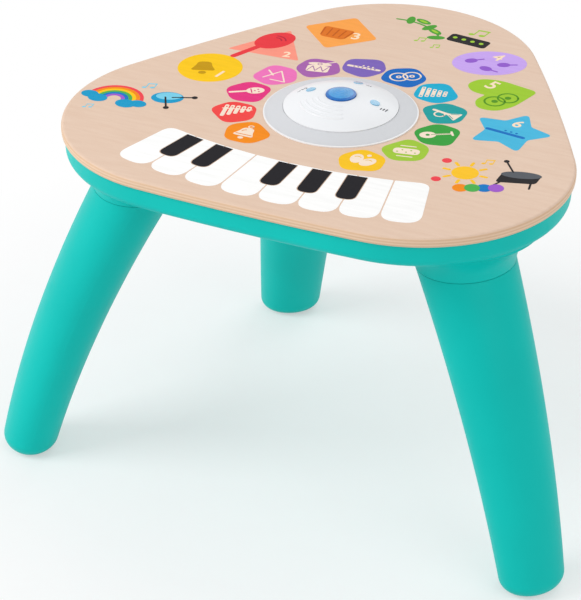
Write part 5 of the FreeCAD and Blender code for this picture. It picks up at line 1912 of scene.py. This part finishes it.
@dataclass
class Dome:
    """The small marks and raised arcs on the white dome.

    Attributes:
        arc_count: How many raised arcs there are.
        arc_first: The innermost arc's radius.
        arc_step: From one arc to the next.
        arc_middle: The azimuth that the arcs are centred on.
        arc_span: The angle that an arc spans.
        bead: Radius of the raised line.
        bead_sunk: How deep the line's middle lies, as a share of its radius.
        arc_points: Points along an arc.
        bead_sides: Faces round the line.
        mark: The marks' ink.
    """

    arc_count: int = 4
    arc_first: float = 21.0
    arc_step: float = 5.0
    arc_middle: float = -106.0
    arc_span: float = 84.0
    bead: float = 1.7
    bead_sunk: float = 0.7
    arc_points: int = 40
    bead_sides: int = 12
    mark: Colour = (60, 66, 74)

    def build(self) -> None:
        """Raise the arcs and lay the marks."""
        ball = Ball.from_frame()
        self.raise_arcs(ball)
        self.lay_marks(ball)

    def lay_marks(self, ball: Ball) -> None:
        """Lay the small marks beside the lenses.

        Args:
            ball: The dome's ball.
        """
        marks = Print("dome_marks", ball.height)
        dark = ink("mark", self.mark)
        marks.lay(dark, 0, oval((-40.0, 6.0), 1.2, 0.9, 20, 12), stroke([(-39.0, 6.0), (-39.0, 10.0)], 0.6))
        marks.lay(dark, 0, stroke([(-39.0, 10.0), (-36.8, 9.0)], 0.7), dot(-37.0, 8.2, 0.8))
        marks.lay(dark, 0, stroke([(-42.6, 1.0), (-40.6, 2.8), (-41.4, 4.2)], 0.6))
        marks.lay(dark, 0, stroke([(8.0, 36.6), (11.0, 36.0)], 0.8), dot(12.4, 35.8, 0.8))
        for index in range(3):
            x, y = 38.0 + 2.2 * index, -1.6 + 0.6 * index
            marks.lay(dark, 0, stroke([(x, y), (x + 0.4, y + 2.4 + 0.8 * index)], 0.9))
        marks.finish("white_plastic")

    def raise_arcs(self, ball: Ball) -> None:
        """Grow the raised arcs over the dome's ball.

        Args:
            ball: The dome's ball.
        """
        recipe = Recipe(
            "dome_arcs",
            {
                "Count": ("NodeSocketInt", self.arc_count),
                "First radius": ("NodeSocketFloat", self.arc_first * MM),
                "Radius step": ("NodeSocketFloat", self.arc_step * MM),
                "Start": ("NodeSocketFloat", math.radians(self.arc_middle - self.arc_span / 2.0)),
                "Span": ("NodeSocketFloat", math.radians(self.arc_span)),
                "Ball radius": ("NodeSocketFloat", ball.radius),
                "Ball centre": ("NodeSocketVector", (0.0, ball.axis_y, ball.centre_z)),
                "Bead": ("NodeSocketFloat", self.bead * MM),
                "Bead sunk": ("NodeSocketFloat", self.bead_sunk),
                "Material": ("NodeSocketMaterial", FINISHES["white_plastic"].material()),
            },
        )
        given = recipe.given.outputs
        size = recipe.series(given["First radius"], given["Radius step"])
        spots = recipe.add("GeometryNodePoints", {"Count": given["Count"]})
        line = recipe.add(
            "GeometryNodeCurveArc",
            {
                "Resolution": self.arc_points,
                "Radius": 1.0,
                "Start Angle": given["Start"],
                "Sweep Angle": given["Span"],
            },
        )
        copies = recipe.add(
            "GeometryNodeInstanceOnPoints",
            {
                "Points": spots.outputs[0],
                "Instance": line.outputs[0],
                "Scale": recipe.add("ShaderNodeCombineXYZ", {"X": size, "Y": size, "Z": size}).outputs[0],
            },
        )
        real = recipe.add("GeometryNodeRealizeInstances", {"Geometry": copies.outputs[0]})
        here = recipe.add("GeometryNodeInputPosition").outputs[0]
        reach = recipe.add("ShaderNodeVectorMath", {0: here}, operation="LENGTH").outputs["Value"]
        ball = recipe.math("MULTIPLY", given["Ball radius"], given["Ball radius"])
        rise = recipe.math("SQRT", recipe.math("SUBTRACT", ball, recipe.math("MULTIPLY", reach, reach)))
        sunk = recipe.math("SUBTRACT", rise, recipe.math("MULTIPLY", given["Bead"], given["Bead sunk"]))
        lift = recipe.add("ShaderNodeCombineXYZ", {"Z": sunk}).outputs[0]
        offset = recipe.add("ShaderNodeVectorMath", {0: lift, 1: given["Ball centre"]}, operation="ADD")
        shift = {"Geometry": real.outputs[0], "Offset": offset.outputs[0]}
        moved = recipe.add("GeometryNodeSetPosition", shift)
        section = {"Resolution": self.bead_sides, "Radius": given["Bead"]}
        profile = recipe.add("GeometryNodeCurvePrimitiveCircle", section)
        tube = recipe.add(
            "GeometryNodeCurveToMesh",
            {"Curve": moved.outputs[0], "Profile Curve": profile.outputs[0], "Fill Caps": True},
        )
        made = recipe.build("dome_arcs", tube.outputs[0])
        for face in made.data.polygons:
            face.use_smooth = True
        report(made, TABLE_BODY)


@dataclass
class ReturnCone:
    """The silicone cone under the button, which flattens as the button goes down on the real table; here it keeps its
    shape.

    Attributes:
        head_radius: Its outer radius at the top.
        wall: Its wall.
        bulge: How far its middle swells out.
        foot_lip: Height of the upright lip at its foot.
        foot_step: From the lip's outside to where the slope starts.
        slack: What it flattens beyond the button's travel. Not used.
        spans: Straight spans in its slope.
        turns: Faces round it.
    """

    head_radius: float = 6.5 * MM
    wall: float = 0.8 * MM
    bulge: float = 0.25 * MM
    foot_lip: float = 0.7 * MM
    foot_step: float = 0.48 * MM
    slack: float = 0.03 * MM
    spans: int = 8
    turns: int = 72

    def profile(self, foot_radius: float, height: float) -> list[tuple[float, float]]:
        """Draw the wall, up the outside and down the inside.

        Args:
            foot_radius: The outer radius at the foot.
            height: The cone's height.

        Returns:
            The wall's points as radius and height over the foot.
        """
        outside = [(foot_radius, 0.0), (foot_radius, self.foot_lip)]
        start = foot_radius - self.foot_step
        for step in range(self.spans + 1):
            share = step / self.spans
            swell = self.bulge * math.sin(math.pi * share)
            reach = start + (self.head_radius - start) * share + swell
            outside.append((reach, self.foot_lip + (height - self.foot_lip) * share))
        inside = [(reach - self.wall, rise) for reach, rise in outside[::-1] if rise != self.foot_lip]
        return outside + inside

    def build(self) -> None:
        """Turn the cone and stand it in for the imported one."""
        low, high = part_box("return_cone")
        centre_y = Top.from_frame().axis_y
        outline = self.profile(high.x, high.z - low.z)
        shape = bmesh.new()
        rings = []
        for turn in range(self.turns):
            angle = math.tau * turn / self.turns
            ring = []
            for reach, rise in outline:
                spot = (reach * math.cos(angle), centre_y + reach * math.sin(angle), low.z + rise)
                ring.append(shape.verts.new(spot))
            rings.append(ring)
        for ring, after in zip(rings, rings[1:] + rings[:1]):
            for step in range(len(outline)):
                forward = (step + 1) % len(outline)
                shape.faces.new((ring[step], after[step], after[forward], ring[forward]))
        cone = mesh_object("silicone_cone", shape, [FINISHES["silicone"].material()])
        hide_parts("return_cone")
        report(cone, TABLE_BODY)
        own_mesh(cone)


@dataclass
class Underside:
    """The grip ribs and switch marks that only show from below.

    Attributes:
        rib_count: Ribs on the battery door.
        rib_pitch: From one rib to the next.
        rib_length: A rib's length.
        rib_width: A rib's width.
        rib_from_screw: From the door screw's middle to the nearest rib.
        proud: How far ribs and marks stand out.
        mark_reach: From the knob's middle to the marks, towards the table's axis.
        mark_size: Half the width of the marks for off and loud; the one for low is half as wide.
        off_line, bar_line: Line widths of the ring that marks off, and of the two bars.
        low_share: Where low lies in the knob's travel.
        grip_shares, grip_line, grip_margin: The grips' places along the knob, their width, and
            from their ends to the knob's side.
    """

    rib_count: int = 6
    rib_pitch: float = 2.6
    rib_length: float = 18.0
    rib_width: float = 1.1
    rib_from_screw: float = 10.0
    proud: float = 0.35
    mark_reach: float = 9.0
    mark_size: float = 1.5
    off_line: float = 0.6
    bar_line: float = 0.8
    low_share: float = 0.5
    grip_shares: tuple[float, ...] = (0.25, 0.5, 0.75)
    grip_line: float = 0.6
    grip_margin: float = 1.6

    def plates(self, name: str, outlines: list[Outline], level: float, body: str, slot: str) -> None:
        """Raise outlines downwards from a level.

        Args:
            name: The piece's name.
            outlines: Their outlines in millimetres from the origin.
            level: The height of the surface in metres.
            body: The body that the piece rides on.
            slot: Its material slot.
        """
        whole = bmesh.new()
        for outline in outlines:
            single = stamp(name + "_part", outline, (self.proud + Print.SINK) * MM, level - self.proud * MM)
            whole.from_mesh(single.data)
            bpy.data.objects.remove(single)
        report(mesh_object(name, whole, [FINISHES[slot].material()]), body)

    def build(self) -> None:
        """Lay the door's ribs, the switch's marks and the knob's grips."""
        self.raise_ribs()
        self.lay_switch_marks()
        self.raise_grips()

    def raise_ribs(self) -> None:
        """Raise a row of ribs on the door, shorter towards its ends."""
        low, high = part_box("door_screw")
        screw = ((low.x + high.x) / 2 / MM, (low.y + high.y) / 2 / MM)
        ribs = []
        for index in range(self.rib_count):
            x = screw[0] - self.rib_from_screw - index * self.rib_pitch
            half = self.rib_length / 2.0 - abs(index - (self.rib_count - 1) / 2.0)
            ribs.append(stroke([(x, screw[1] - half), (x, screw[1] + half)], self.rib_width))
        self.plates("door_ribs", ribs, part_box("battery_door")[0].z, "door", "teal_plastic")

    def lay_switch_marks(self) -> None:
        """Lay a ring for off, a short bar for low and a long bar for loud."""
        low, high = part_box("power_knob")
        x = (low.x + high.x) / 2 / MM + self.mark_reach
        off = (x, (low.y + high.y) / 2 / MM)
        marks = [hoop(off, self.mark_size, self.off_line)]
        for share, half in ((self.low_share, self.mark_size / 2.0), (1.0, self.mark_size)):
            middle = off[1] + travel_of("power_slide") / MM * share
            marks.append(stroke([(x - half, middle), (x + half, middle)], self.bar_line))
        self.plates("switch_marks", marks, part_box("bottom_housing")[0].z, TABLE_BODY, "white_plastic")

    def raise_grips(self) -> None:
        """Raise the grips across the knob."""
        low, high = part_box("power_knob")
        grips = []
        for share in self.grip_shares:
            y = (low.y + (high.y - low.y) * share) / MM
            ends = [(low.x / MM + self.grip_margin, y), (high.x / MM - self.grip_margin, y)]
            grips.append(stroke(ends, self.grip_line))
        self.plates("knob_grips", grips, low.z, "power_slider", "knob_white")


@dataclass
class Fasteners:
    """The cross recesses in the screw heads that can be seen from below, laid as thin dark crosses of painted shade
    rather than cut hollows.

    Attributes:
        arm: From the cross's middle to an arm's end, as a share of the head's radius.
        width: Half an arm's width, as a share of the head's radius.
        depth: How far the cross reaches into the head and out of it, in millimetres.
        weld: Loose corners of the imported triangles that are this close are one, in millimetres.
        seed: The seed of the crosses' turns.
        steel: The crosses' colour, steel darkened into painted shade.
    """

    arm: float = 0.62
    width: float = 0.2
    depth: float = 0.06
    weld: float = 0.01
    seed: int = 3
    steel: Colour = (70, 71, 74)

    def heads(self, node: str) -> list[tuple[Vector, float]]:
        """Find each screw's middle at its lowest level and its head's radius.

        Args:
            node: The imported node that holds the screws.

        Returns:
            The places and radii.
        """
        shape = bmesh.new()
        shape.from_mesh(frame["nodes"][node].data)
        bmesh.ops.remove_doubles(shape, verts=shape.verts, dist=self.weld * MM)
        left = set(shape.verts)
        found = []
        for start in shape.verts:
            if start not in left:
                continue
            left.remove(start)
            island, edge = [], [start]
            while edge:
                vertex = edge.pop()
                island.append(vertex.co.copy())
                for link in vertex.link_edges:
                    other = link.other_vert(vertex)
                    if other in left:
                        left.remove(other)
                        edge.append(other)
            low = Vector([min(co[axis] for co in island) for axis in range(3)])
            high = Vector([max(co[axis] for co in island) for axis in range(3)])
            found.append((Vector(((low.x + high.x) / 2, (low.y + high.y) / 2, low.z)), (high.x - low.x) / 2))
        shape.free()
        return found

    def cross(self) -> Outline:
        """Draw a cross for a head with a radius of 1.

        Returns:
            Its outline.
        """
        arm, width = self.arm, self.width
        corners = []
        for quarter in range(4):
            for corner in ((width, -width), (arm, -width), (arm, width)):
                corners.append(placed([corner], (0.0, 0.0), 90.0 * quarter)[0])
        return corners

    def build(self) -> None:
        """Grow a dark cross of painted shade under each screw head."""
        heads = self.heads("housing_screws") + self.heads("panel_screws")
        places = bpy.data.meshes.new("recess_places")
        places.from_pydata([tuple(middle) for middle, _ in heads], [], [])
        holder = linked("recess_places", places)
        size = sum(radius for _, radius in heads) / len(heads)
        corners = [(x * size / MM, y * size / MM) for x, y in self.cross()]
        # A thin plate through the head's surface, dark with painted shade where the recess lies; nothing is cut.
        cross = stamp("cross_seed", corners, 2 * self.depth * MM, -self.depth * MM)
        recipe = Recipe(
            "screw_recesses",
            {
                "Places": ("NodeSocketObject", holder),
                "Cross": ("NodeSocketObject", cross),
                "Seed": ("NodeSocketInt", self.seed),
                "Material": ("NodeSocketMaterial", PlatedMetal("recess_painted_shade", self.steel, 0.5).material()),
            },
        )
        given = recipe.given.outputs
        index = recipe.add("GeometryNodeInputIndex").outputs[0]
        limits = {2: 0.0, 3: math.pi / 2.0, "ID": index, "Seed": given["Seed"]}
        turn = recipe.add("FunctionNodeRandomValue", limits, data_type="FLOAT").outputs[1]
        spots = recipe.add("GeometryNodeObjectInfo", {"Object": given["Places"]})
        copies = recipe.copies(spots.outputs["Geometry"], given["Cross"], turn)
        report(recipe.build("screw_recesses", copies), TABLE_BODY)
        bpy.data.objects.remove(cross)
        bpy.data.objects.remove(holder)


@dataclass(frozen=True)
class Lamp:
    """One soft square lamp that points at the table.

    Attributes:
        name: Its name.
        place: Its place in metres.
        size: Its side.
        power: Its power in watts.
        aim: The spot that it points at.
    """

    name: str
    place: tuple[float, float, float]
    size: float
    power: float
    aim: tuple[float, float, float] = (0.0, 0.0, 0.2)

    def build(self) -> None:
        """Hang the lamp."""
        data = bpy.data.lights.new(self.name, "AREA")
        data.size = self.size
        data.energy = self.power
        lamp = linked(self.name, data)
        lamp.location = self.place
        lamp.rotation_euler = (Vector(self.aim) - Vector(self.place)).to_track_quat("-Z", "Y").to_euler()


@dataclass(frozen=True)
class Studio:
    """The pale floor, the soft lights and the camera at the photograph's angle.

    Attributes:
        camera_place: The camera, in metres.
        camera_turn: Its tilt, roll and heading in degrees.
        lens: Its focal length for a frame as wide as the sensor.
        sensor: The frame's width in millimetres.
        floor_reach: Half the floor's side.
        room_light: How strongly the room lights the table from all sides.
        white_lift: How much the floor near the table is lifted towards white.
        bright_near: From the middle to where the floor starts to fade into white.
        bright_far: To where it is white.
        paper: The floor's colour.
        paper_grain: The floor's darker specks.
        lamps: The lamps.
    """

    camera_place: tuple[float, float, float] = (0.764098, -1.730507, 1.269362)
    camera_turn: tuple[float, float, float] = (58.887, 0.0, 25.497)
    lens: float = 147.79
    sensor: float = 36.0
    floor_reach: float = 9.0
    room_light: float = 0.6
    white_lift: float = 0.45
    bright_near: float = 0.3
    bright_far: float = 0.58
    paper: Colour = (246, 247, 248)
    paper_grain: Colour = (243, 244, 245)
    lamps: tuple[Lamp, ...] = (
        Lamp("key_light", (-1.8, -1.4, 1.7), 1.5, 37.0),
        Lamp("fill_light", (1.9, -0.9, 1.5), 1.6, 10.0),
        Lamp("back_light", (0.3, 2.0, 1.9), 1.6, 12.0),
    )

    def build(self) -> None:
        """Set the whole studio."""
        scene = bpy.context.scene
        scene.view_settings.view_transform = "Standard"
        self.build_floor()
        self.build_world()
        for lamp in self.lamps:
            lamp.build()
        data = bpy.data.cameras.new("camera")
        data.sensor_fit = "HORIZONTAL"
        data.sensor_width = self.sensor
        data.lens = self.lens
        camera = linked("camera", data)
        camera.location = self.camera_place
        camera.rotation_euler = [math.radians(turn) for turn in self.camera_turn]
        scene.camera = camera

    def build_floor(self) -> None:
        """Lay the floor, whose shadow fades into white away from the table."""
        shape = bmesh.new()
        bmesh.ops.create_grid(shape, x_segments=8, y_segments=8, size=self.floor_reach)
        shader = Shader("studio_floor")
        paper = shader.noise(40.0, 3.0)
        shader.set(Base_Color=shader.mix(paper, self.paper, self.paper_grain), Roughness=0.9)
        shader.set(Specular_IOR_Level=0.1)
        shader.bump(paper, 0.05 * MM, 0.2)
        x, y, _ = shader.axes()
        away = shader.ramp(shader.flat_length(x, y), self.bright_near, self.bright_far)
        lift = shader.spread(away, self.white_lift, 1.0)
        white = shader.add("ShaderNodeEmission", {"Color": (1.0, 1.0, 1.0, 1.0), "Strength": 1.0})
        both = shader.add(
            "ShaderNodeMixShader",
            {0: shader.math("MULTIPLY", shader.seen_rays(), lift), 1: shader.surface.outputs[0], 2: white.outputs[0]},
        )
        below = shader.add("ShaderNodeNewGeometry").outputs["Backfacing"]
        clear = shader.add("ShaderNodeBsdfTransparent")
        one_sided = shader.add("ShaderNodeMixShader", {0: below, 1: both.outputs[0], 2: clear.outputs[0]})
        shader.feed(shader.tree.nodes["Material Output"].inputs["Surface"], one_sided.outputs[0])
        mesh_object("studio_floor", shape, [shader.material])

    def build_world(self) -> None:
        """Light the room evenly, and show it white to the camera and in gloss."""
        world = bpy.data.worlds.new("studio")
        world.use_nodes = True
        bpy.context.scene.world = world
        maker = NodeMaker(world.node_tree)
        strength = maker.add("ShaderNodeMapRange", {0: maker.seen_rays(), 3: self.room_light, 4: 1.0})
        room = maker.tree.nodes["Background"].inputs
        maker.feed(room["Color"], (1.0, 1.0, 1.0, 1.0))
        maker.feed(room["Strength"], strength.outputs[0])


def main() -> None:
    """Build the table's looks in order."""
    logging.basicConfig(level=logging.INFO, format="%(message)s")
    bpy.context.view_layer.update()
    Studio().build()
    Carried().dress()
    Keyboard().build()
    SoundTiles().build()
    Shapes().build()
    CornerPictures().build()
    Dome().build()
    ReturnCone().build()
    Underside().build()
    Fasteners().build()


if __name__ == "__main__":
    main()
